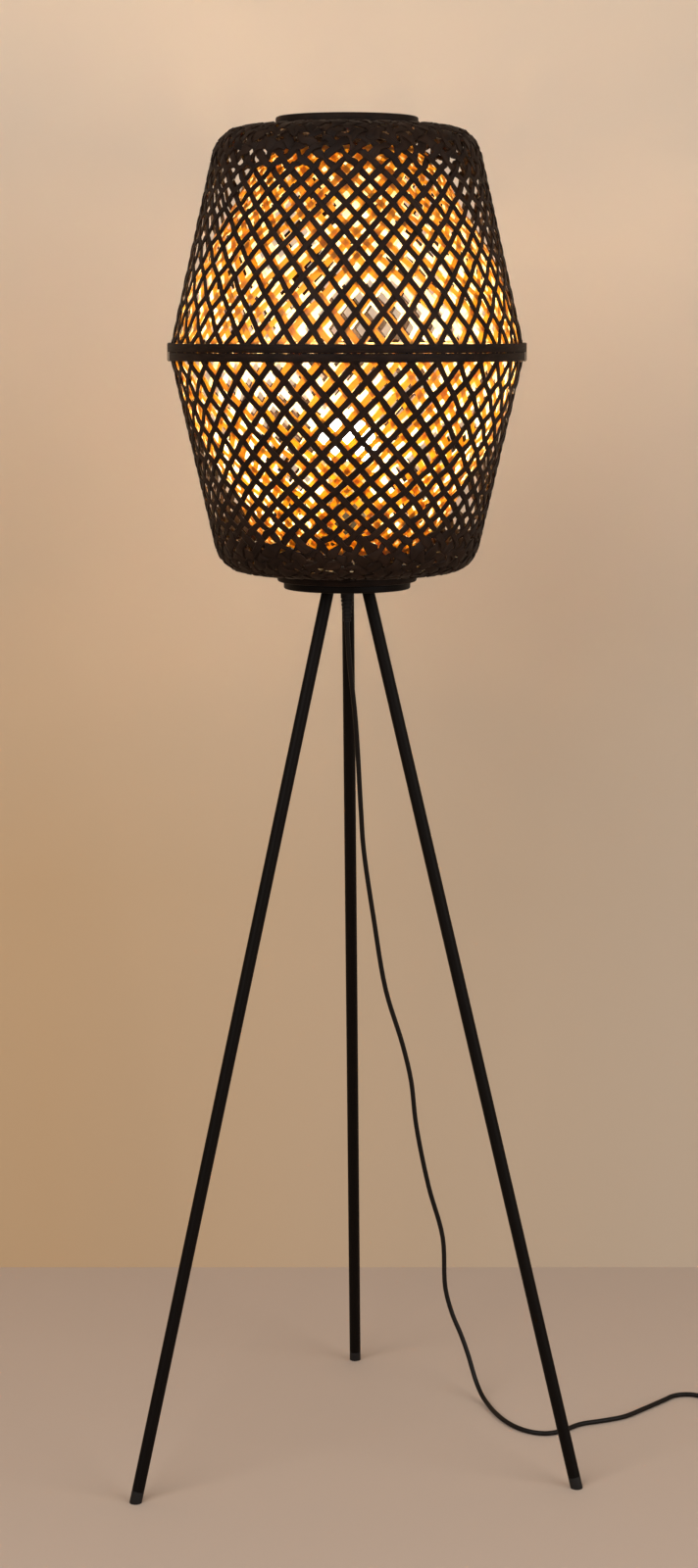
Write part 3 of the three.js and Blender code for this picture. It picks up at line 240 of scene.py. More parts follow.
def relief(tree, height, strength, distance):
    """The normals of fine relief with this height."""
    return add_node(tree, "ShaderNodeBump", {
        "Strength": strength, "Distance": distance, "Height": height,
    }).outputs["Normal"]


def mottled_finish(name, colour, roughness, cells, bump, spread=0.14, tint=0.2, **look):
    """A moulded, coated or plated finish, whose colour, gloss and surface vary a little."""
    material, shader = plain_material(name, colour, roughness, **look)
    tree = material.node_tree
    place = add_node(tree, "ShaderNodeTexCoord").outputs["Object"]
    fine = add_node(tree, "ShaderNodeTexNoise", {"Vector": place, "Scale": cells, "Detail": 3.0})
    broad = add_node(tree, "ShaderNodeTexNoise", {"Vector": place, "Scale": cells / 40, "Detail": 4.0})
    shade = maths(tree, "MULTIPLY_ADD", broad.outputs["Fac"], 2 * tint, 1 - tint)
    toned = add_node(tree, "ShaderNodeVectorMath", {0: colour[:3], 3: shade}, operation="SCALE")
    feed(shader, {
        "Base Color": toned.outputs[0],
        "Roughness": maths(tree, "MULTIPLY_ADD", fine.outputs["Fac"], spread, roughness - spread / 2),
        "Normal": relief(tree, fine.outputs["Fac"], 0.5, bump),
    })
    return material


def dress(material, *nodes):
    """Gives this finish to CAD nodes whose shape stays."""
    for node in nodes:
        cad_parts[node].material_slots[0].material = material


cord_jacket = mottled_finish("cord jacket", PVC_BLACK, 0.5, 700, 0.0001, specular=0.18)
for cord in (mains_cord, coil_cord):
    cord.data.materials.append(cord_jacket)
dress(cord_jacket, "cord_in_stem")

# Strain relief: a soft black rubber sleeve, moulded in one, that grips the stem under the dish. It tapers
# down the cord in ribs, so that the cord bends gently where it leaves the lamp.
RELIEF_RADIUS = 6.6
RELIEF_SLEEVE = 10  # length of the part round the stem
RELIEF_TIP_RADIUS = 4
RELIEF_RIBS = 6
RELIEF_GROOVE = 0.9
RIB_OUTLINE = ((0, 0), (0.6, 0), (0.68, 1), (0.92, 1))  # share of a rib's length, of its groove's depth
STEM_BORE = 5.3
RING_SIDES, SMALL_RING_SIDES = 128, 48


def soften(mesh, degrees=35):
    """Smooth shading, with the edges sharper than this angle kept."""
    mesh.polygons.foreach_set("use_smooth", [True] * len(mesh.polygons))
    mesh.set_sharp_from_angle(angle=math.radians(degrees))


def turned(name, profile, material, sides=RING_SIDES, matrix=None):
    """A solid of revolution about the lamp's axis from [radius, height] points in millimetres.

    It is closed where its profile leaves the axis. Its grain map, in metres, runs round it."""
    rings, corners = [], []
    for radius, height in profile:
        angles = [2 * math.pi * k / sides for k in range(sides if radius else 1)]
        rings.append(range(len(corners), len(corners) + len(angles)))
        corners += [
            (radius * math.cos(angle) / 1000, radius * math.sin(angle) / 1000, height / 1000)
            for angle in angles
        ]
    ends = [*profile[1:], profile[0]]
    runs = [0]
    for here, there in zip(profile, ends):
        runs.append(runs[-1] + math.dist(here, there) / 1000)
    faces, grain = [], []
    for low in range(len(profile) if profile[0][0] else len(profile) - 1):
        high = (low + 1) % len(profile)
        side = 2 * math.pi * max(profile[low][0], profile[high][0]) / 1000 / sides
        for k in range(sides):
            face = []
            below, above = (rings[low], runs[low], (k, k + 1)), (rings[high], runs[low + 1], (k + 1, k))
            for ring, run, steps in (below, above):
                for step in steps if len(ring) > 1 else (k,):
                    face.append((ring[step % len(ring)], (step * side, run)))
            if len(face) > 2:
                faces.append([corner for corner, _ in face])
                grain += [value for _, place in face for value in place]
    mesh = bpy.data.meshes.new(name)
    mesh.from_pydata(corners, [], faces)
    mesh.uv_layers.new(name="grain").data.foreach_set("uv", grain)
    mesh.transform(matrix or Matrix.Translation(axis))
    soften(mesh)
    mesh.materials.append(material)
    return add_object(name, mesh)


def settle(piece, slot, *nodes, body="lamp"):
    """Lets a finished piece ride on its body, in place of its CAD nodes."""
    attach(piece, body)
    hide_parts(*nodes)


def ribbed_sleeve():
    """The relief's profile, from the tip up to the sleeve and down again inside."""
    low, high = levels("strain_relief")
    taper = high - RELIEF_SLEEVE - low
    points = [(CORD_RADIUS + CLEARANCE, low)]
    for rib in range(RELIEF_RIBS):
        for share, groove in RIB_OUTLINE:
            up = (rib + share) / RELIEF_RIBS
            radius = RELIEF_TIP_RADIUS + (RELIEF_RADIUS - RELIEF_TIP_RADIUS) * up
            points.append((radius - groove * RELIEF_GROOVE, low + taper * up))
    return points + [
        (RELIEF_RADIUS, low + taper), (RELIEF_RADIUS, high - 0.5), (RELIEF_RADIUS - 0.5, high),
        (STEM_BORE, high), (STEM_BORE, high - RELIEF_SLEEVE + 1),
        (CORD_RADIUS + CLEARANCE, low + taper - 1),
    ]


rubber = mottled_finish("black rubber", (0.008, 0.0065, 0.006, 1), 0.62, 900, 0.0001, specular=0.25)
settle(turned("ribbed_relief", ribbed_sleeve(), rubber, SMALL_RING_SIDES), "black_rubber", "strain_relief")

# Foot switch: a two-part moulded case on the floor, screwed together from below, with a broad sprung
# button in the middle of its crowned top. Only the button moves.
SWITCH_WIDTH = 40
SWITCH_HEIGHT = 21
SWITCH_CORNER = 12
SWITCH_WALL = 2
SWITCH_EASING = ((0, 0.62), (0.4, 0.78), (1.3, 0.9), (2.8, 0.97), (4.6, 1))  # inset, share of the height
BUTTON_LENGTH = 30
BUTTON_WIDTH = 22
BUTTON_CORNER = 5
BUTTON_FLANGE = 1.5
BUTTON_EASING = ((0, 1.4), (0.4, 0.6), (1.2, 0.1), (2.4, 0), (5, 0.4), (8, 0.7))  # inset, depth below top
OPENING_EASING = 0.8
CASE_BLACK = (0.012, 0.0105, 0.0095, 1)


def rounded_outline(length, width, corner, steps=8):
    """Points of a rectangle with round corners about its middle, as [x, y], anticlockwise."""
    points = []
    for quarter, (x, y) in enumerate(((1, 1), (-1, 1), (-1, -1), (1, -1))):
        for step in range(steps + 1):
            angle = math.pi / 2 * (quarter + step / steps)
            points.append((
                x * (length / 2 - corner) + corner * math.cos(angle),
                y * (width / 2 - corner) + corner * math.sin(angle),
            ))
    return points


def lofted(name, rings, material, closed=False):
    """A skin over rings of points in metres, all with the same count; its ends are capped or meet."""
    count = len(rings[0])
    faces = []
    for low in range(len(rings) if closed else len(rings) - 1):
        high = (low + 1) % len(rings)
        for k in range(count):
            n = (k + 1) % count
            faces.append((low * count + k, low * count + n, high * count + n, high * count + k))
    if not closed:
        faces.append(range(count - 1, -1, -1))
        faces.append(range((len(rings) - 1) * count, len(rings) * count))
    mesh = bpy.data.meshes.new(name)
    mesh.from_pydata([point for ring in rings for point in ring], [], faces)
    soften(mesh)
    mesh.materials.append(material)
    return add_object(name, mesh)


def grown(outline, by):
    """An outline of [length, width, corner] that is larger by this much all round."""
    length, width, corner = outline
    return length + 2 * by, width + 2 * by, corner + by


def switch_ring(length, width, corner, height):
    """A rounded outline of the switch at a height above the floor."""
    return [
        from_axis(switch_x + x, switch_y + y, height)
        for x, y in rounded_outline(length, width, corner)
    ]


case_plastic = mottled_finish("case plastic", CASE_BLACK, 0.42, 900, 0.00008, specular=0.35)
cover_low = levels("switch_cover")[0]
cover_inside = SWITCH_HEIGHT - SWITCH_WALL
case_outline = (SWITCH_LENGTH, SWITCH_WIDTH, SWITCH_CORNER)
button_outline = (BUTTON_LENGTH, BUTTON_WIDTH, BUTTON_CORNER)
opening = grown(button_outline, CLEARANCE)
hollow = grown(case_outline, -SWITCH_WALL)
cover = lofted("foot_switch_cover", [
    switch_ring(*case_outline, cover_low),
    *(
        switch_ring(SWITCH_LENGTH - 2 * inset, SWITCH_WIDTH - 2 * inset, SWITCH_CORNER - inset / 2,
                    cover_low + (SWITCH_HEIGHT - cover_low) * share)
        for inset, share in SWITCH_EASING
    ),
    switch_ring(*grown(opening, OPENING_EASING), SWITCH_HEIGHT),
    switch_ring(*opening, SWITCH_HEIGHT - OPENING_EASING),
    switch_ring(*opening, cover_inside),
    switch_ring(*hollow, cover_inside),
    switch_ring(*hollow, cover_low),
], case_plastic, closed=True)
settle(cover, "black_plastic", "switch_cover")

button_low, button_top = levels("switch_button")
flange = grown(button_outline, SWITCH_WALL)
button = lofted("foot_switch_button", [
    switch_ring(*flange, button_low),
    switch_ring(*flange, button_low + BUTTON_FLANGE),
    switch_ring(*button_outline, button_low + BUTTON_FLANGE),
    *(
        switch_ring(BUTTON_LENGTH - 2 * inset, BUTTON_WIDTH - 2 * inset, max(BUTTON_CORNER - inset, 1),
                    button_top - depth)
        for inset, depth in BUTTON_EASING
    ),
], case_plastic)
settle(button, "black_plastic", "switch_button", body="button")
dress(case_plastic, "switch_base")

# Plug: a flat two-pin plug moulded onto the end of the cord in the switch's black plastic, with a waist and
# a few finger grooves. Both cords take the place of their CAD nodes here.
PLUG_SECTIONS = (
    # distance from the back, width, thickness, corner
    (0, 8.4, 8.4, 4), (0.7, 9.6, 9.4, 4.4), (5, 11, 10, 4.6), (9, 13.4, 11.4, 4.8), (13, 17.6, 12.8, 4.8),
    (17, 22.6, 13.5, 4.6), (20, 25.2, PLUG_THICKNESS, 4.4), (22, 26, PLUG_THICKNESS, 4.2),
    (23, 25, 12.9, 4), (24.2, 25, 12.9, 4), (25, 26, PLUG_THICKNESS, 4.2),
    (26, 25, 12.9, 4), (27.2, 25, 12.9, 4), (28, 26, PLUG_THICKNESS, 4.2),
    (29, 25, 12.9, 4), (30.2, 25, 12.9, 4), (31, 26, PLUG_THICKNESS, 4.2),
    (34, 26, PLUG_THICKNESS, 4.2), (34.8, 25.4, 13.1, 4), (35, 24, 12, 3.6),
)

plug = lofted("cord_plug", [
    [
        from_axis(plug_back - along, plug_y - x, plug_height + y)
        for x, y in rounded_outline(width, thickness, corner)
    ]
    for along, width, thickness, corner in PLUG_SECTIONS
], case_plastic)
settle(plug, "black_plastic", "plug_body")
settle(mains_cord, "black_rubber", "mains_cord")
settle(coil_cord, "black_rubber", "cord_coil")

# Outer baskets: black-stained split rattan in one over, one under diagonal weave, 40 strips each way. The
# cells are tall diamonds at the hoops and close up over the domed ends, where the strips crowd in to the
# collars.
SIDES = {"upper": 1, "lower": -1}  # up or down from the shade's middle
RIM_TOP = 9  # top of the hoops, from the shade's middle
HOOP_GAP = 0.2  # between the hoops; the weave starts this far from the shade's middle
RIM_RADIUS = 178.5
SHOULDER = (129.6, 222.5)
SHOULDER_ROUNDING = 39
WEAVE_END = (71.8, 224.3)
STEPS_PER_ROW = 4
STRIP_EASING = 0.36  # of the strip's thickness
OVER_AND_UNDER = 0.54  # of the strip's thickness, either way from the middle of the weave
WEAVE_DEPTH = 1.04  # of the strip's thickness, from the basket's surface to the middle of the weave
STRIP_SHIFT = 0.04  # of the room that a strip has
CROWDING_START, CROWDING_END = 0.114, 0.07  # metres that are left before the collar
CROWDING_PUSH = 0.062
WANDER_SCALE, PUSH_SCALE = 26.0, 95.0
OUTER_LAYER = {
    # crowding is the growth of the strips towards the collar
    "Strips": 40, "Strip Thickness": 0.0015, "Crowding": 0.35, "Looseness": 0.004,
}
OUTER_BASKETS = (
    # side, first row, shrink per mm, row offset, crossing angle, twist per m, strip width, seed
    ("upper", 19.98, 0.052, 0.13, 2.1, 13.0, 5.7, 3),
    ("lower", 17.42, 0.043, 0.61, 2.7, -22.0, 6.3, 8),
)
RATTAN_FIBRE, RATTAN_PATCHES = (35, 2200), (60, 180)  # cells per metre along and across a strip
STAIN_DARK, STAIN_LIGHT = (0.0048, 0.0021, 0.0011, 1), (0.022, 0.0105, 0.0058, 1)


def weave_tree():
    """Strips of one width, woven on the diagonal round Z on the surface that a meridian sweeps."""
    tree = bpy.data.node_groups.new("diagonal weave", "GeometryNodeTree")
    sockets = (
        ("Meridian", "Geometry"), ("Strips", "Int"), ("First Row", "Float"), ("Row Shrink", "Float"),
        ("Row Offset", "Float"), ("Crossing Angle", "Float"), ("Twist", "Float"), ("Strip Width", "Float"),
        ("Strip Thickness", "Float"), ("Crowding", "Float"), ("Looseness", "Float"), ("Seed", "Int"),
        ("Material", "Material"),
    )
    for name, kind in sockets:
        tree.interface.new_socket(name, in_out="INPUT", socket_type=f"NodeSocket{kind}")
    tree.interface.new_socket("Weave", in_out="OUTPUT", socket_type="NodeSocketGeometry")

    def node(kind, inputs=None, **settings):
        return add_node(tree, kind, inputs, **settings)

    def calc(operation, *values):
        return maths(tree, operation, *values)

    def vector_maths(operation, inputs, output=0):
        return node("ShaderNodeVectorMath", inputs, operation=operation).outputs[output]

    def random_value(seed, inputs=None):
        inputs = {**(inputs or {}), "Seed": calc("ADD", given["Seed"], seed)}
        return node("FunctionNodeRandomValue", inputs, data_type="FLOAT").outputs[1]

    def store(geometry, name, value, domain, data_type="FLOAT"):
        return node("GeometryNodeStoreNamedAttribute", {
            "Geometry": geometry, "Name": name, "Value": value,
        }, data_type=data_type, domain=domain).outputs[0]

    def attribute(name):
        return node("GeometryNodeInputNamedAttribute", {"Name": name}, data_type="FLOAT").outputs[0]

    given = node("NodeGroupInput").outputs
    first, shrink = given["First Row"], given["Row Shrink"]

    # Rows of crossings that get lower evenly with the distance from the hoops
    meridian = node("GeometryNodeMeshToCurve", {"Mesh": given["Meridian"]}).outputs[0]
    length = node("GeometryNodeCurveLength", {"Curve": meridian}).outputs[0]
    last = calc("SUBTRACT", first, calc("MULTIPLY", shrink, length))
    ratio = calc("LOGARITHM", calc("DIVIDE", first, last), math.e)
    rows = calc("DIVIDE", ratio, shrink)
    count = calc("CEIL", calc("MULTIPLY_ADD", rows, float(STEPS_PER_ROW), 1.0))
    index = node("GeometryNodeInputIndex").outputs[0]
    row = calc("MINIMUM", calc("DIVIDE", index, float(STEPS_PER_ROW)), rows)
    faded = calc("EXPONENT", calc("MULTIPLY", calc("MULTIPLY", row, shrink), -1.0))
    reach = calc("DIVIDE", first, shrink)
    along = calc("MULTIPLY", reach, calc("SUBTRACT", 1.0, faded))
    sample = node("GeometryNodeSampleCurve", {"Curves": meridian, "Length": along}, mode="LENGTH")
    slope = node("ShaderNodeSeparateXYZ", {"Vector": sample.outputs["Tangent"]}).outputs
    outward = calc("SIGN", slope["Z"])
    tilt = calc("MULTIPLY", calc("MULTIPLY", slope["X"], outward), -1.0)
    normal = node("ShaderNodeCombineXYZ", {
        "X": calc("MULTIPLY", slope["Z"], outward), "Z": tilt,
    }).outputs[0]

    # The strips crowd and thicken towards the collar
    crowd = node("ShaderNodeMapRange", {
        "Value": calc("SUBTRACT", length, along),
        "From Min": CROWDING_START, "From Max": CROWDING_END, "To Min": 1.0,
        "To Max": calc("ADD", given["Crowding"], 1.0),
    }, interpolation_type="SMOOTHSTEP").outputs[0]
    thickness = calc("MULTIPLY", given["Strip Thickness"], crowd)
    crossing = calc("SUBTRACT", row, given["Row Offset"])
    swing = calc("DIVIDE", calc("MULTIPLY", crossing, math.pi), given["Strips"])
    wave = calc("COSINE", calc("MULTIPLY", crossing, math.pi))
    lift = calc("MULTIPLY", thickness, OVER_AND_UNDER)
    seat = calc("MULTIPLY", thickness, -WEAVE_DEPTH)
    drift = calc("MULTIPLY_ADD", given["Twist"], along, given["Crossing Angle"])

    # A flat strip with eased edges
    section = node("GeometryNodeCurvePrimitiveQuadrilateral", {
        "Width": given["Strip Thickness"], "Height": given["Strip Width"],
    })
    easing = calc("MULTIPLY", given["Strip Thickness"], STRIP_EASING)
    eased = node("GeometryNodeFilletCurve", {
        "Curve": section.outputs[0], "Radius": easing, "Count": 1,
    }, mode="POLY")
    here = node("GeometryNodeInputPosition").outputs[0]
    across = node("ShaderNodeSeparateXYZ", {"Vector": here}).outputs["Y"]
    profile = store(eased.outputs[0], "across", across, "POINT")

    line = node("GeometryNodeMeshLine", {"Count": count})
    backbone = node("GeometryNodeMeshToCurve", {"Mesh": line.outputs[0]}).outputs[0]
    share = calc("DIVIDE", 2 * math.pi, given["Strips"])
    everything = node("GeometryNodeJoinGeometry")
    for way in (1.0, -1.0):
        turn = calc("MULTIPLY_ADD", swing, way, calc("SUBTRACT", drift, math.pi / 2))
        height = calc("MULTIPLY_ADD", calc("MULTIPLY", wave, way), lift, seat)
        risen = vector_maths("SCALE", {0: normal, 3: height})
        place = vector_maths("ADD", {0: sample.outputs["Position"], 1: risen})
        turned_place, turned_normal = (
            node("ShaderNodeVectorRotate", {"Vector": v, "Angle": turn}, rotation_type="Z_AXIS")
            for v in (place, normal)
        )
        moved = node("GeometryNodeSetPosition", {
            "Geometry": backbone, "Position": turned_place.outputs[0],
        })
        faced = node("GeometryNodeSetCurveNormal", {
            "Curve": moved.outputs[0], "Normal": turned_normal.outputs[0],
        }, mode="FREE")
        marked = faced.outputs[0]
        for name, value in (("along", along), ("crowd", crowd), ("lean", tilt)):
            marked = store(marked, name, value, "POINT")
        strip = node("GeometryNodeCurveToMesh", {
            "Curve": marked, "Profile Curve": profile, "Scale": attribute("crowd"), "Fill Caps": True,
        })
        places = node("GeometryNodePoints", {"Count": given["Strips"]})
        shifts = random_value(way, {
            2: calc("MULTIPLY", share, -STRIP_SHIFT), 3: calc("MULTIPLY", share, STRIP_SHIFT),
        })
        spin = node("ShaderNodeCombineXYZ", {
            "Z": calc("ADD", calc("MULTIPLY", share, index), shifts),
        }).outputs[0]
        copies = node("GeometryNodeInstanceOnPoints", {
            "Points": places.outputs[0], "Instance": strip.outputs[0],
            "Rotation": node("FunctionNodeEulerToRotation", {"Euler": spin}).outputs[0],
        })
        toned = store(copies.outputs[0], "strip_tone", random_value(10 + way), "INSTANCE")
        tree.links.new(toned, everything.inputs[0])
    solid = node("GeometryNodeRealizeInstances", {"Geometry": everything.outputs[0]})

    # Hand-split strips wander a little: neighbours move together, so the crossings stay as they are.
    # Where they crowd, they push each other about more closely. Nothing moves out of the woven surface.
    radial = vector_maths("NORMALIZE", {0: vector_maths("MULTIPLY", {0: here, 1: (1, 1, 0)})})
    level = calc("COSINE", calc("ARCSINE", attribute("lean")))
    upright = node("ShaderNodeCombineXYZ", {"Z": attribute("lean")}).outputs[0]
    facing = vector_maths("ADD", {0: vector_maths("SCALE", {0: radial, 3: level}), 1: upright})
    push = calc("MULTIPLY", calc("SUBTRACT", attribute("crowd"), 1.0), CROWDING_PUSH)
    loose = solid.outputs[0]
    for scale, amount in ((WANDER_SCALE, given["Looseness"]), (PUSH_SCALE, push)):
        wander = node("ShaderNodeTexNoise", {
            "Vector": here, "W": calc("MULTIPLY", given["Seed"], 1.7), "Scale": scale, "Detail": 1.0,
        }, noise_dimensions="4D")
        centred = vector_maths("SUBTRACT", {0: wander.outputs["Color"], 1: (0.5, 0.5, 0.5)})
        outwards = vector_maths("DOT_PRODUCT", {0: centred, 1: facing}, "Value")
        out_of_weave = vector_maths("SCALE", {0: facing, 3: outwards})
        sideways = vector_maths("SUBTRACT", {0: centred, 1: out_of_weave})
        offset = vector_maths("SCALE", {0: sideways, 3: amount})
        loose = node("GeometryNodeSetPosition", {"Geometry": loose, "Offset": offset}).outputs[0]
    grain = node("ShaderNodeCombineXYZ", {
        "X": attribute("along"),
        "Y": calc("ADD", attribute("across"), attribute("strip_tone")),
    }).outputs[0]
    mapped = store(loose, "grain", grain, "CORNER", "FLOAT2")
    finished = node("GeometryNodeSetMaterial", {"Geometry": mapped, "Material": given["Material"]})
    node("NodeGroupOutput", {0: finished.outputs[0]})
    return tree


def polyline(name, points):
    """A mesh of one open line through [radius, height] points in millimetres."""
    mesh = bpy.data.meshes.new(name)
    corners = [(radius / 1000, 0, height / 1000) for radius, height in points]
    mesh.from_pydata(corners, [(i, i + 1) for i in range(len(corners) - 1)], [])
    return mesh


def grow(piece, tree, values):
    """Runs a node tree on a piece with these inputs, and keeps the result as its plain mesh."""
    modifier = piece.modifiers.new("grow", "NODES")
    modifier.node_group = tree
    for item in tree.interface.items_tree:
        if item.in_out == "INPUT" and item.name in values:
            modifier[item.identifier] = values[item.name]
    depsgraph = bpy.context.evaluated_depsgraph_get()
    mesh = bpy.data.meshes.new_from_object(piece.evaluated_get(depsgraph))
    piece.modifiers.clear()
    piece.data = mesh


def outer_meridian():
    """From the hoops up the tapering wall, round the shoulder and over the dome, as [radius, height]."""
    rim, corner, end = Vector((RIM_RADIUS, RIM_TOP)), Vector(SHOULDER), Vector(WEAVE_END)
    down, inwards = rim - corner, end - corner
    tangent = SHOULDER_ROUNDING / math.tan(down.angle(inwards) / 2)
    start, finish = corner + down.normalized() * tangent, corner + inwards.normalized() * tangent
    steps = 12
    bend = []
    for i in range(steps + 1):
        t = i / steps
        bend.append(start * (1 - t) ** 2 + corner * 2 * t * (1 - t) + finish * t * t)
    return [(RIM_RADIUS, HOOP_GAP), rim, *bend, end]


def strip_grain(tree, lengthwise, crosswise, detail=4.0):
    """Noise drawn out along the strips of a piece, from its grain map."""
    grain = add_node(tree, "ShaderNodeUVMap", uv_map="grain").outputs[0]
    drawn = add_node(tree, "ShaderNodeMapping", {"Vector": grain, "Scale": (lengthwise, crosswise, 1)})
    noise = add_node(tree, "ShaderNodeTexNoise", {
        "Vector": drawn.outputs[0], "Scale": 1.0, "Detail": detail,
    })
    return noise.outputs["Fac"]


def blend_colours(tree, share, first, second):
    """A colour between two others."""
    return add_node(tree, "ShaderNodeMix", {0: share, 6: first, 7: second}, data_type="RGBA").outputs[2]


def stretched(tree, value, low, high):
    """A value of this range, brought to 0 to 1."""
    return add_node(tree, "ShaderNodeMapRange", {
        "Value": value, "From Min": low, "From Max": high,
    }).outputs[0]


def stained_rattan():
    """Black stain over split rattan: darker in the grain, and worn a little browner in places."""
    material, shader = plain_material("stained rattan", STAIN_DARK, 0.6, specular=0.1)
    tree = material.node_tree
    fibre = strip_grain(tree, *RATTAN_FIBRE)
    patch = strip_grain(tree, *RATTAN_PATCHES, 2.0)
    tone = add_node(tree, "ShaderNodeAttribute", attribute_name="strip_tone").outputs["Fac"]
    streaks = maths(tree, "MULTIPLY", fibre, maths(tree, "MULTIPLY", patch, 1.9))
    mixed = maths(tree, "MULTIPLY_ADD", tone, 0.35, streaks)
    worn = stretched(tree, mixed, 0.25, 0.95)
    feed(shader, {
        "Base Color": blend_colours(tree, worn, STAIN_DARK, STAIN_LIGHT),
        "Roughness": maths(tree, "MULTIPLY_ADD", fibre, 0.35, 0.42),
        "Normal": relief(tree, fibre, 0.6, 0.00025),
    })
    return material


shade_middle = (levels("outer_hoop_upper")[0] + levels("outer_hoop_lower")[1]) / 2
rattan_black = stained_rattan()
weave = weave_tree()


def weave_basket(layer, side, profile, slot, settings, rows):
    """Weaves the upper or the lower basket of a layer over its profile about the shade's middle."""
    first, shrink, offset, angle, twist, width, seed = rows
    name = f"{layer}_weave_{side}"
    meridian = [(r, shade_middle + SIDES[side] * h) for r, h in profile]
    basket = add_object(name, polyline(name, meridian))
    grow(basket, weave, {
        **settings, "First Row": first / 1000, "Row Shrink": shrink, "Row Offset": offset,
        "Crossing Angle": math.radians(angle), "Twist": math.radians(twist),
        "Strip Width": width / 1000, "Seed": seed,
    })
    basket.data.transform(Matrix.Translation(axis))
    soften(basket.data)
    settle(basket, slot, f"{layer}_basket_{side}")


outer_settings = {**OUTER_LAYER, "Material": rattan_black}
for side, *rows in OUTER_BASKETS:
    weave_basket("outer", side, outer_meridian(), "black_rattan", outer_settings, rows)

# Inner baskets: thin strips of natural bamboo, woven the same way into a closer, rounder bowl. They take
# the light of the bulb and let some of it through, which is the orange glow between the outer strips.
INNER_RIM_RADIUS = 175.9
INNER_END_RADIUS = 76
INNER_TOP = 201  # from the shade's middle
INNER_OUTLINE = ((0.25, 0.14), (0.5, 0.36), (0.72, 0.63), (0.88, 0.79), (1, 1))
INNER_LAYER = {"Strips": 42, "Strip Thickness": 0.0008, "Crowding": 0.0, "Looseness": 0.006}
INNER_BASKETS = (
    # the same columns as for the outer baskets
    ("upper", 17.5, 0.045, 0.4, 21, 0, 6.2, 21),
    ("lower", 17.5, 0.045, 0.4, 34, 0, 6.2, 34),
)
BAMBOO_FIBRE, BAMBOO_PATCHES = (25, 1600), (14, 60)
SKIN_DARK, SKIN_LIGHT = (0.24, 0.14, 0.03, 1), (0.46, 0.30, 0.08, 1)
PITH_DARK, PITH_LIGHT = (0.66, 0.46, 0.19, 1), (0.92, 0.82, 0.56, 1)
GLOW_DARK, GLOW_LIGHT = (0.62, 0.33, 0.035, 1), (1.0, 0.68, 0.10, 1)
GLOW_SHARE = 0.5


def inner_meridian():
    """From the hoops round the bowl to its open end, as [radius, height]."""
    height, width = INNER_TOP - RIM_TOP, INNER_RIM_RADIUS - INNER_END_RADIUS
    corners = [
        Vector((INNER_RIM_RADIUS - width * inwards, 0, RIM_TOP + height * up))
        for up, inwards in ((0, 0), *INNER_OUTLINE)
    ]
    return [(INNER_RIM_RADIUS, HOOP_GAP), *((p.x, p.z) for p in smooth_line(corners, 8))]


def natural_bamboo():
    """Split bamboo: golden skin outside, pale pith inside, and a glow where light comes through."""
    material, shader = plain_material("natural bamboo", SKIN_LIGHT, 0.5)
    tree = material.node_tree
    fibre = strip_grain(tree, *BAMBOO_FIBRE)
    patch = strip_grain(tree, *BAMBOO_PATCHES, 2.0)
    tone = add_node(tree, "ShaderNodeAttribute", attribute_name="strip_tone").outputs["Fac"]
    patches = maths(tree, "MULTIPLY_ADD", tone, 0.35, maths(tree, "MULTIPLY", patch, 0.5))
    mixed = maths(tree, "MULTIPLY_ADD", fibre, 0.5, patches)
    share = stretched(tree, mixed, 0.35, 1.0)
    surface = add_node(tree, "ShaderNodeTexCoord").outputs
    from_middle = add_node(tree, "ShaderNodeVectorMath", {
        0: surface["Object"], 1: from_axis(0, 0, shade_middle),
    }, operation="SUBTRACT")
    outwards = add_node(tree, "ShaderNodeVectorMath", {
        0: surface["Normal"], 1: from_middle.outputs[0],
    }, operation="DOT_PRODUCT").outputs["Value"]
    outside = maths(tree, "GREATER_THAN", outwards, 0.0)
    pith = blend_colours(tree, share, PITH_DARK, PITH_LIGHT)
    skin = blend_colours(tree, share, SKIN_DARK, SKIN_LIGHT)
    feed(shader, {
        "Base Color": blend_colours(tree, outside, pith, skin),
        "Normal": relief(tree, fibre, 0.5, 0.0002),
    })
    glow = add_node(tree, "ShaderNodeBsdfTranslucent", {
        "Color": blend_colours(tree, share, GLOW_DARK, GLOW_LIGHT),
    })
    mix = add_node(tree, "ShaderNodeMixShader", {0: GLOW_SHARE, 1: shader.outputs[0], 2: glow.outputs[0]})
    feed(tree.nodes["Material Output"], {"Surface": mix.outputs[0]})
    return material


bamboo = natural_bamboo()
inner_settings = {**INNER_LAYER, "Material": bamboo}
for side, *rows in INNER_BASKETS:
    weave_basket("inner", side, inner_meridian(), "natural_rattan", inner_settings, rows)

# Hoops and end rings: split rattan bent into rings. Black hoops hold the rims of the outer baskets from
# outside, natural ones hold the inner baskets from inside, and a thin natural ring edges each open end.
HOOP_TOP = 8.7
HOOP_EASING = 0.4
HOOP_BORE = RIM_RADIUS + CLEARANCE
HOOP_THICKNESS = {"upper": 2.6, "lower": 1.6}
INNER_HOOP = (170.5, 173.4)
END_RING_THICKNESS = 3
END_RING_EASING = 0.8


def eased_band(inner, outer, low, high, ease):
    """A ring's section with eased edges, as [radius, height]."""
    third = ease * 0.3
    return [
        (inner, low + ease), (inner + third, low + third), (inner + ease, low), (outer - ease, low),
        (outer - third, low + third), (outer, low + ease), (outer, high - ease),
        (outer - third, high - third), (outer - ease, high), (inner + ease, high),
        (inner + third, high - third), (inner, high - ease),
    ]


def lifted(profile, way):
    """A profile about the shade's middle at its height, the right way up or turned over."""
    points = [(radius, shade_middle + way * height) for radius, height in profile]
    return points if way > 0 else points[::-1]


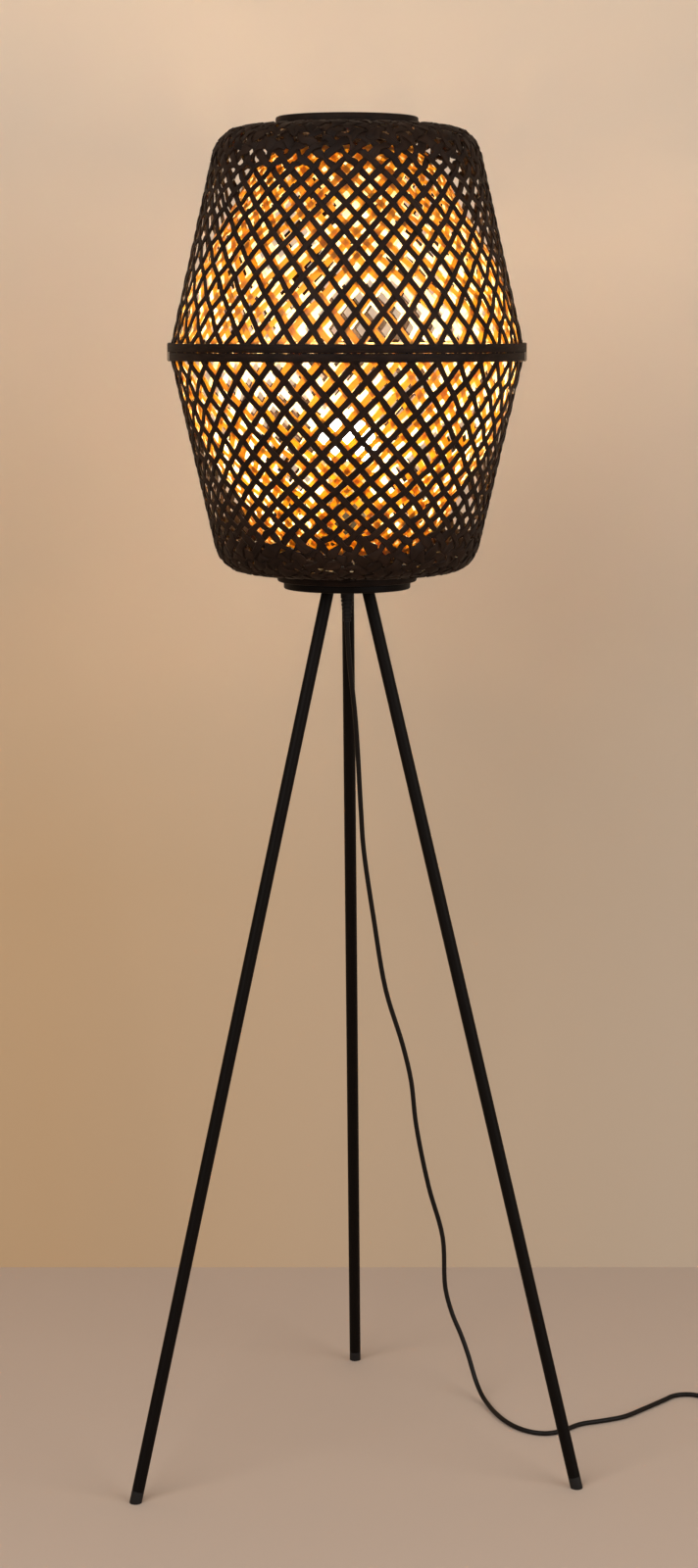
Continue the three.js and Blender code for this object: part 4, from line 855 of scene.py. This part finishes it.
for side, way in SIDES.items():
    outside = HOOP_BORE + HOOP_THICKNESS[side]
    band = lifted(eased_band(HOOP_BORE, outside, HOOP_GAP / 2, HOOP_TOP, HOOP_EASING), way)
    settle(turned(f"black_hoop_{side}", band, rattan_black), "black_rattan", f"outer_hoop_{side}")
    band = lifted(eased_band(*INNER_HOOP, HOOP_GAP / 2, HOOP_TOP, HOOP_EASING), way)
    settle(turned(f"bamboo_hoop_{side}", band, bamboo), "natural_rattan", f"inner_hoop_{side}")
    node = f"inner_end_ring_{side}"
    ring_radius = (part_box(node)[1].x - axis.x) * 1000
    band = eased_band(ring_radius - END_RING_THICKNESS, ring_radius, *levels(node), END_RING_EASING)
    settle(turned(f"bamboo_end_ring_{side}", band, bamboo), "natural_rattan", node)

# Lashings: split cane wound three times round all the hoops, at the right, the back and the left of the
# shade. They tie its upper and its lower half together.
LASHING_TURNS = 3
LASHING_WIDTH, LASHING_THICKNESS = 2.3, 0.7
LASHING_PITCH = 2.5
LASHING_BEND = 1.2
LASHING_AZIMUTHS = {"right": 0, "back": 90, "left": 180}  # degrees


def lashing_rings(azimuth):
    """Sections of a cane strip that winds round all the hoops."""
    inner, outer = INNER_HOOP[0], HOOP_BORE + HOOP_THICKNESS["upper"]
    loop = rounded_outline(
        outer - inner + LASHING_THICKNESS, 2 * HOOP_TOP + LASHING_THICKNESS, LASHING_BEND, 4,
    )
    turn = Matrix.Rotation(math.radians(azimuth), 3, "Z")
    strip = rounded_outline(LASHING_WIDTH, LASHING_THICKNESS, 0.2, 1)
    rings = []
    for i in range(LASHING_TURNS * len(loop) + 1):
        before, here, after = (Vector(loop[(i + step) % len(loop)]) for step in (-1, 0, 1))
        run = (after - before).normalized()
        outwards = Vector((run.y, -run.x))
        sideways = LASHING_PITCH * (i / len(loop) - LASHING_TURNS / 2)
        ring = []
        for across, up in strip:
            x, z = here + outwards * up
            place = turn @ Vector(((inner + outer) / 2 + x, sideways - across, shade_middle + z))
            ring.append(from_axis(*place))
        rings.append(ring)
    return rings


cane = mottled_finish("lashing cane", (0.075, 0.046, 0.03, 1), 0.5, 900, 0.0002, tint=0.5, specular=0.3)
for side, azimuth in LASHING_AZIMUTHS.items():
    settle(lofted(f"lashing_{side}", lashing_rings(azimuth), cane), "natural_rattan", f"hoop_tie_{side}")

# Collars: a flat ring of stained wood edges each end of the shade. The crowded strips end against it, and
# it stands a little proud of them.
COLLAR_RADII = (62.5, 71.5)
COLLAR_EASING = 1.8

for side, way in SIDES.items():
    node = f"{side}_collar"
    profile = eased_band(*COLLAR_RADII, *levels(node), COLLAR_EASING)
    settle(turned(f"black_collar_{side}", profile, rattan_black), "black_rattan", node)

# Bulb: an opal plastic globe on a white plastic housing, lit by an LED plate inside. Its plated cap screws
# into the holder.
GLOBE_RADIUS = 30
GLOBE_HOLLOW = 0.95  # share of its radius
GLOBE_STEPS = 20
SEAM_DROP, SEAM_RADIUS = 12, 27.5
BULB_LIGHT = (1.0, 0.80, 0.52, 1)
BULB_STRENGTH = 540.0

globe_middle = levels("bulb_globe")[1] - GLOBE_RADIUS
cap_top = levels("bulb_cap")[1]
housing_top = globe_middle - SEAM_DROP - CLEARANCE
opal = mottled_finish("opal globe", (0.95, 0.88, 0.76, 1), 0.35, 300, 0.00003, tint=0.04)
feed(opal.node_tree.nodes["Principled BSDF"], {
    "Emission Color": BULB_LIGHT, "Emission Strength": BULB_STRENGTH,
})
seam_angle = math.asin(SEAM_DROP / GLOBE_RADIUS)
angles = [(math.pi / 2 + seam_angle) * i / GLOBE_STEPS - seam_angle for i in range(GLOBE_STEPS)]
outside = [(GLOBE_RADIUS * math.cos(a), globe_middle + GLOBE_RADIUS * math.sin(a)) for a in angles]
outside.append((0, globe_middle + GLOBE_RADIUS))
inside = [(r * GLOBE_HOLLOW, globe_middle + (h - globe_middle) * GLOBE_HOLLOW) for r, h in outside]
globe = turned("opal_globe", [*inside[::-1], *outside], opal, SMALL_RING_SIDES)
settle(globe, "opal_plastic", "bulb_globe")

white_plastic = mottled_finish("white plastic", (0.80, 0.78, 0.72, 1), 0.42, 500, 0.00005, tint=0.05)
housing = turned("bulb_shell", [
    (11, cap_top - 12), (12, cap_top - 12), (12, cap_top + 0.3), (14.5, cap_top + 0.3), (16, cap_top + 8),
    (21, cap_top + 26), (SEAM_RADIUS, housing_top), (SEAM_RADIUS - 1.5, housing_top),
    (19.5, cap_top + 26), (14.5, cap_top + 8), (11, cap_top + 0.3),
], white_plastic, SMALL_RING_SIDES)
settle(housing, "white_plastic", "bulb_housing")
zinc_plate = mottled_finish("zinc plate", (0.55, 0.55, 0.53, 1), 0.34, 900, 0.00004, metallic=1.0)
dress(white_plastic, "led_plate")
dress(zinc_plate, "bulb_cap")

# Lamp holder: a black plastic cap and body with a ceramic block, a screw shell and two terminals inside, on
# the end of a hollow threaded stem. The cord's two leads come up through the stem.
HOLDER_RADIUS = 20
HOLDER_NECK = 12
HOLDER_WALL = 2
HOLDER_SIDES = 64

holder_low, holder_joint = levels("holder_cap")
holder_top = levels("holder_body")[1]
holder = turned("holder_shell", [
    (STEM_BORE, holder_low), (HOLDER_NECK, holder_low), (12.6, holder_low + 0.6), (14, holder_low + 4),
    (18.5, holder_low + 11.5), (HOLDER_RADIUS, holder_low + 15), (HOLDER_RADIUS, holder_joint - 0.6),
    (HOLDER_RADIUS - 0.5, holder_joint), (HOLDER_RADIUS, holder_joint + 0.6),
    (HOLDER_RADIUS, holder_top - 3), (HOLDER_RADIUS - 1, holder_top),
    (HOLDER_RADIUS - HOLDER_WALL, holder_top), (HOLDER_RADIUS - HOLDER_WALL, holder_low + 15),
    (10, holder_low + 2), (STEM_BORE, holder_low + 2),
], case_plastic, HOLDER_SIDES)
settle(holder, "black_plastic", "holder_cap", "holder_body")
ceramic = mottled_finish("glazed ceramic", (0.74, 0.71, 0.64, 1), 0.3, 300, 0.00004, tint=0.05)
brass_plate = mottled_finish("brass", (0.68, 0.48, 0.20, 1), 0.32, 900, 0.00004, metallic=1.0)
brown_sheath = mottled_finish("brown sheath", (0.16, 0.055, 0.025, 1), 0.5, 900, 0.00004)
blue_sheath = mottled_finish("blue sheath", (0.03, 0.08, 0.32, 1), 0.5, 900, 0.00004)
dress(ceramic, "terminal_block")
dress(brass_plate, "screw_shell", "centre_contact", "terminal_screw_neutral", "terminal_screw_live")
dress(blue_sheath, "lead_neutral")
dress(brown_sheath, "lead_live")
dress(zinc_plate, "nipple", "nipple_washer", "nipple_nut")

# Stand: a shallow spun dish on a hub and three splayed steel tubes, in satin black powder coat. The tubes
# screw into the hub on studs, and the rubber plug in each lower end is cut level with the floor.
DISH_RADIUS = 65
DISH_FLOOR, DISH_WALL = 2, 2.5
LEG_RADIUS, LEG_BORE, LEG_SIDES = 6.35, 5.35, 40
FOOT_RADIUS, LEG_TOP_RADIUS = 263.5, 23.2
LEG_ENGAGEMENT = 12
LEG_AZIMUTHS = {"back": 88, "left": 214.5, "right": 335}  # degrees
PLUG_SHOWN, PLUG_STEM, PLUG_ROUNDING = 12, 14, 2.4
POWDER_BLACK = (0.0032, 0.0018, 0.0012, 1)

powder_coat = mottled_finish("powder coat", POWDER_BLACK, 0.5, 1400, 0.00006, specular=0.08)
dish_low, dish_high = levels("base_dish")
dish = turned("stand_dish", [
    (STEM_BORE, dish_low), (DISH_RADIUS - 2, dish_low), (DISH_RADIUS - 0.8, dish_low + 0.3),
    (DISH_RADIUS - 0.2, dish_low + 0.9), (DISH_RADIUS, dish_low + 1.8), (DISH_RADIUS, dish_high - 0.5),
    (DISH_RADIUS - 0.5, dish_high), (DISH_RADIUS - DISH_WALL, dish_high),
    (DISH_RADIUS - DISH_WALL, dish_low + DISH_FLOOR), (STEM_BORE, dish_low + DISH_FLOOR),
], powder_coat)
settle(dish, "black_steel", "base_dish")

lean = math.atan2(FOOT_RADIUS - LEG_TOP_RADIUS, dish_low)
tube_top = math.hypot(FOOT_RADIUS - LEG_TOP_RADIUS, dish_low) + LEG_ENGAGEMENT
tube_low = PLUG_SHOWN + CLEARANCE
plug_low = -LEG_RADIUS * math.tan(lean) - PLUG_ROUNDING / 2
plug_stem = LEG_BORE - CLEARANCE
tube_profile = [(LEG_BORE, tube_low), (LEG_RADIUS, tube_low), (LEG_RADIUS, tube_top), (LEG_BORE, tube_top)]
foot_profile = [
    (0, plug_low), (LEG_RADIUS - PLUG_ROUNDING, plug_low), (LEG_RADIUS - 0.7, plug_low + 0.7),
    (LEG_RADIUS, plug_low + PLUG_ROUNDING), (LEG_RADIUS, PLUG_SHOWN - 0.4), (LEG_RADIUS - 0.4, PLUG_SHOWN),
    (plug_stem, PLUG_SHOWN), (plug_stem, PLUG_SHOWN + PLUG_STEM), (0, PLUG_SHOWN + PLUG_STEM),
]


def cut_at_floor(mesh):
    """Cuts away what is below the floor and closes the cut."""
    cutting = bmesh.new()
    cutting.from_mesh(mesh)
    parts = [*cutting.verts, *cutting.edges, *cutting.faces]
    cut = bmesh.ops.bisect_plane(
        cutting, geom=parts, plane_co=(0, 0, 0), plane_no=(0, 0, -1), clear_outer=True,
    )
    edges = [part for part in cut["geom_cut"] if isinstance(part, bmesh.types.BMEdge)]
    bmesh.ops.holes_fill(cutting, edges=edges)
    bmesh.ops.recalc_face_normals(cutting, faces=cutting.faces)
    cutting.to_mesh(mesh)
    cutting.free()
    soften(mesh)


for name, azimuth in LEG_AZIMUTHS.items():
    stance = (
        Matrix.Translation(axis)
        @ Matrix.Rotation(math.radians(azimuth), 4, "Z")
        @ Matrix.Translation((FOOT_RADIUS / 1000, 0, 0))
        @ Matrix.Rotation(-lean, 4, "Y")
    )
    tube = turned(f"leg_tube_{name}", tube_profile, powder_coat, LEG_SIDES, stance)
    settle(tube, "black_steel", f"leg_{name}")
    foot = turned(f"rubber_foot_{name}", foot_profile, rubber, LEG_SIDES, stance)
    cut_at_floor(foot.data)
    settle(foot, "black_rubber", f"foot_plug_{name}")
    dress(zinc_plate, f"leg_stud_{name}")
dress(powder_coat, "tripod_hub", "shade_spider")
dress(zinc_plate, "spider_screw_1", "spider_screw_2", "spider_screw_3")

# Inside the foot switch and on the plug: a plated spring that shortens under the button, plated screws, a
# brass contact and round brass pins. The spring's end turns lie flat, so that it stands on the base.
SPRING_RADIUS = 3.9  # to the middle of its wire
SPRING_WIRE = 1.15
SPRING_TURNS = 7
SPRING_STEPS_PER_TURN = 20
SPRING_SIDES = 8


def spring_rings():
    """Round sections of the spring's wire along its helix."""
    low, high = levels("switch_spring")
    low, high = low + SPRING_WIRE / 2, high - SPRING_WIRE / 2
    rise = (high - low - 2 * SPRING_WIRE) / (SPRING_TURNS - 2)
    rings = []
    for i in range(SPRING_TURNS * SPRING_STEPS_PER_TURN + 1):
        turn = i / SPRING_STEPS_PER_TURN
        closed = min(turn, 1) + max(turn - SPRING_TURNS + 1, 0)
        height = low + SPRING_WIRE * closed + rise * (turn - closed)
        angle = 2 * math.pi * turn
        ring = []
        for k in range(SPRING_SIDES):
            side = 2 * math.pi / SPRING_SIDES * k
            radius = SPRING_RADIUS + SPRING_WIRE / 2 * math.cos(side)
            down = SPRING_WIRE / 2 * math.sin(side)
            ring.append(from_axis(
                switch_x + radius * math.cos(angle), switch_y + radius * math.sin(angle), height - down,
            ))
        rings.append(ring)
    return rings


spring = lofted("button_spring", spring_rings(), zinc_plate)
settle(spring, "zinc_steel", "switch_spring")
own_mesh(spring)
dress(zinc_plate, "switch_screw_1", "switch_screw_2")
dress(brass_plate, "switch_contact", "plug_pin_1", "plug_pin_2")

# Stage: a plain pale floor and a warm wall, lit by two soft lamps and an even sky. The wall's colour has
# painted shade low down that fades into painted light higher up, and low down it is yellower at the left
# and greyer at the right. The wall is clear from behind, so that the lamp can be seen from all sides.
FLOOR_COLOUR = (0.515, 0.408, 0.335, 1)
WALL_SHADE_LOW_LEFT, WALL_SHADE_LOW_RIGHT = (0.515, 0.35, 0.203, 1), (0.515, 0.41, 0.31, 1)
WALL_LIGHT_HIGH = (0.60, 0.485, 0.38, 1)
WALL_DISTANCE = 0.55
# Between the two heights of WALL_UP, the wall's painted shade low down fades into painted light above
WALL_ACROSS, WALL_UP = (-0.4, 0.4), (0.5, 1.45)  # where its colours change, in metres
STAGE_REACH = 6
LAMP_COLOUR = (1.0, 0.97, 0.93)
SKY_STRENGTH = 0.3
SOFT_LAMPS = (
    # name, place, target, size, power
    ("key lamp", (-1.8, -3.0, 2.8), (0, 0, 0.9), 3.0, 105),
    ("fill lamp", (2.6, -2.2, 1.8), (0, 0, 0.8), 2.5, 62),
)


def stage_plane(name, corners, material):
    """A flat piece of the stage."""
    mesh = bpy.data.meshes.new(name)
    mesh.from_pydata(corners, [], [(0, 1, 2, 3)])
    mesh.materials.append(material)
    add_object(name, mesh)


floor_finish, _ = plain_material("floor", FLOOR_COLOUR, 0.7)
stage_plane("floor", [
    (x * STAGE_REACH, y * STAGE_REACH, 0) for x, y in ((-1, -1), (1, -1), (1, 1), (-1, 1))
], floor_finish)
wall_finish, wall_shader = plain_material("wall", WALL_LIGHT_HIGH, 0.9)
wall_tree = wall_finish.node_tree
wall_place = add_node(wall_tree, "ShaderNodeTexCoord").outputs["Object"]
wall_x, _, wall_z = add_node(wall_tree, "ShaderNodeSeparateXYZ", {"Vector": wall_place}).outputs
rightwards = stretched(wall_tree, wall_x, *WALL_ACROSS)
# painted shade on the lower wall, fading into painted light higher up
shade_to_light = stretched(wall_tree, wall_z, *WALL_UP)
wall_shade_low = blend_colours(wall_tree, rightwards, WALL_SHADE_LOW_LEFT, WALL_SHADE_LOW_RIGHT)
feed(wall_shader, {"Base Color": blend_colours(wall_tree, shade_to_light, wall_shade_low, WALL_LIGHT_HIGH)})
clear = add_node(wall_tree, "ShaderNodeBsdfTransparent")
from_behind = add_node(wall_tree, "ShaderNodeNewGeometry").outputs["Backfacing"]
seen = add_node(wall_tree, "ShaderNodeMixShader", {
    0: from_behind, 1: wall_shader.outputs[0], 2: clear.outputs[0],
})
feed(wall_tree.nodes["Material Output"], {"Surface": seen.outputs[0]})
stage_plane("wall", [
    (x * STAGE_REACH, WALL_DISTANCE, z * STAGE_REACH) for x, z in ((-1, 0), (1, 0), (1, 1), (-1, 1))
], wall_finish)

sky = bpy.data.worlds.new("sky")
sky.use_nodes = True
feed(sky.node_tree.nodes["Background"], {"Color": (*LAMP_COLOUR, 1), "Strength": SKY_STRENGTH})
scene.world = sky

for name, place, target, size, power in SOFT_LAMPS:
    data = bpy.data.lights.new(name, "AREA")
    data.size = size
    data.energy = power
    data.color = LAMP_COLOUR
    lamp = add_object(name, data)
    lamp.location = place
    lamp.rotation_euler = (Vector(target) - Vector(place)).to_track_quat("-Z", "Y").to_euler()
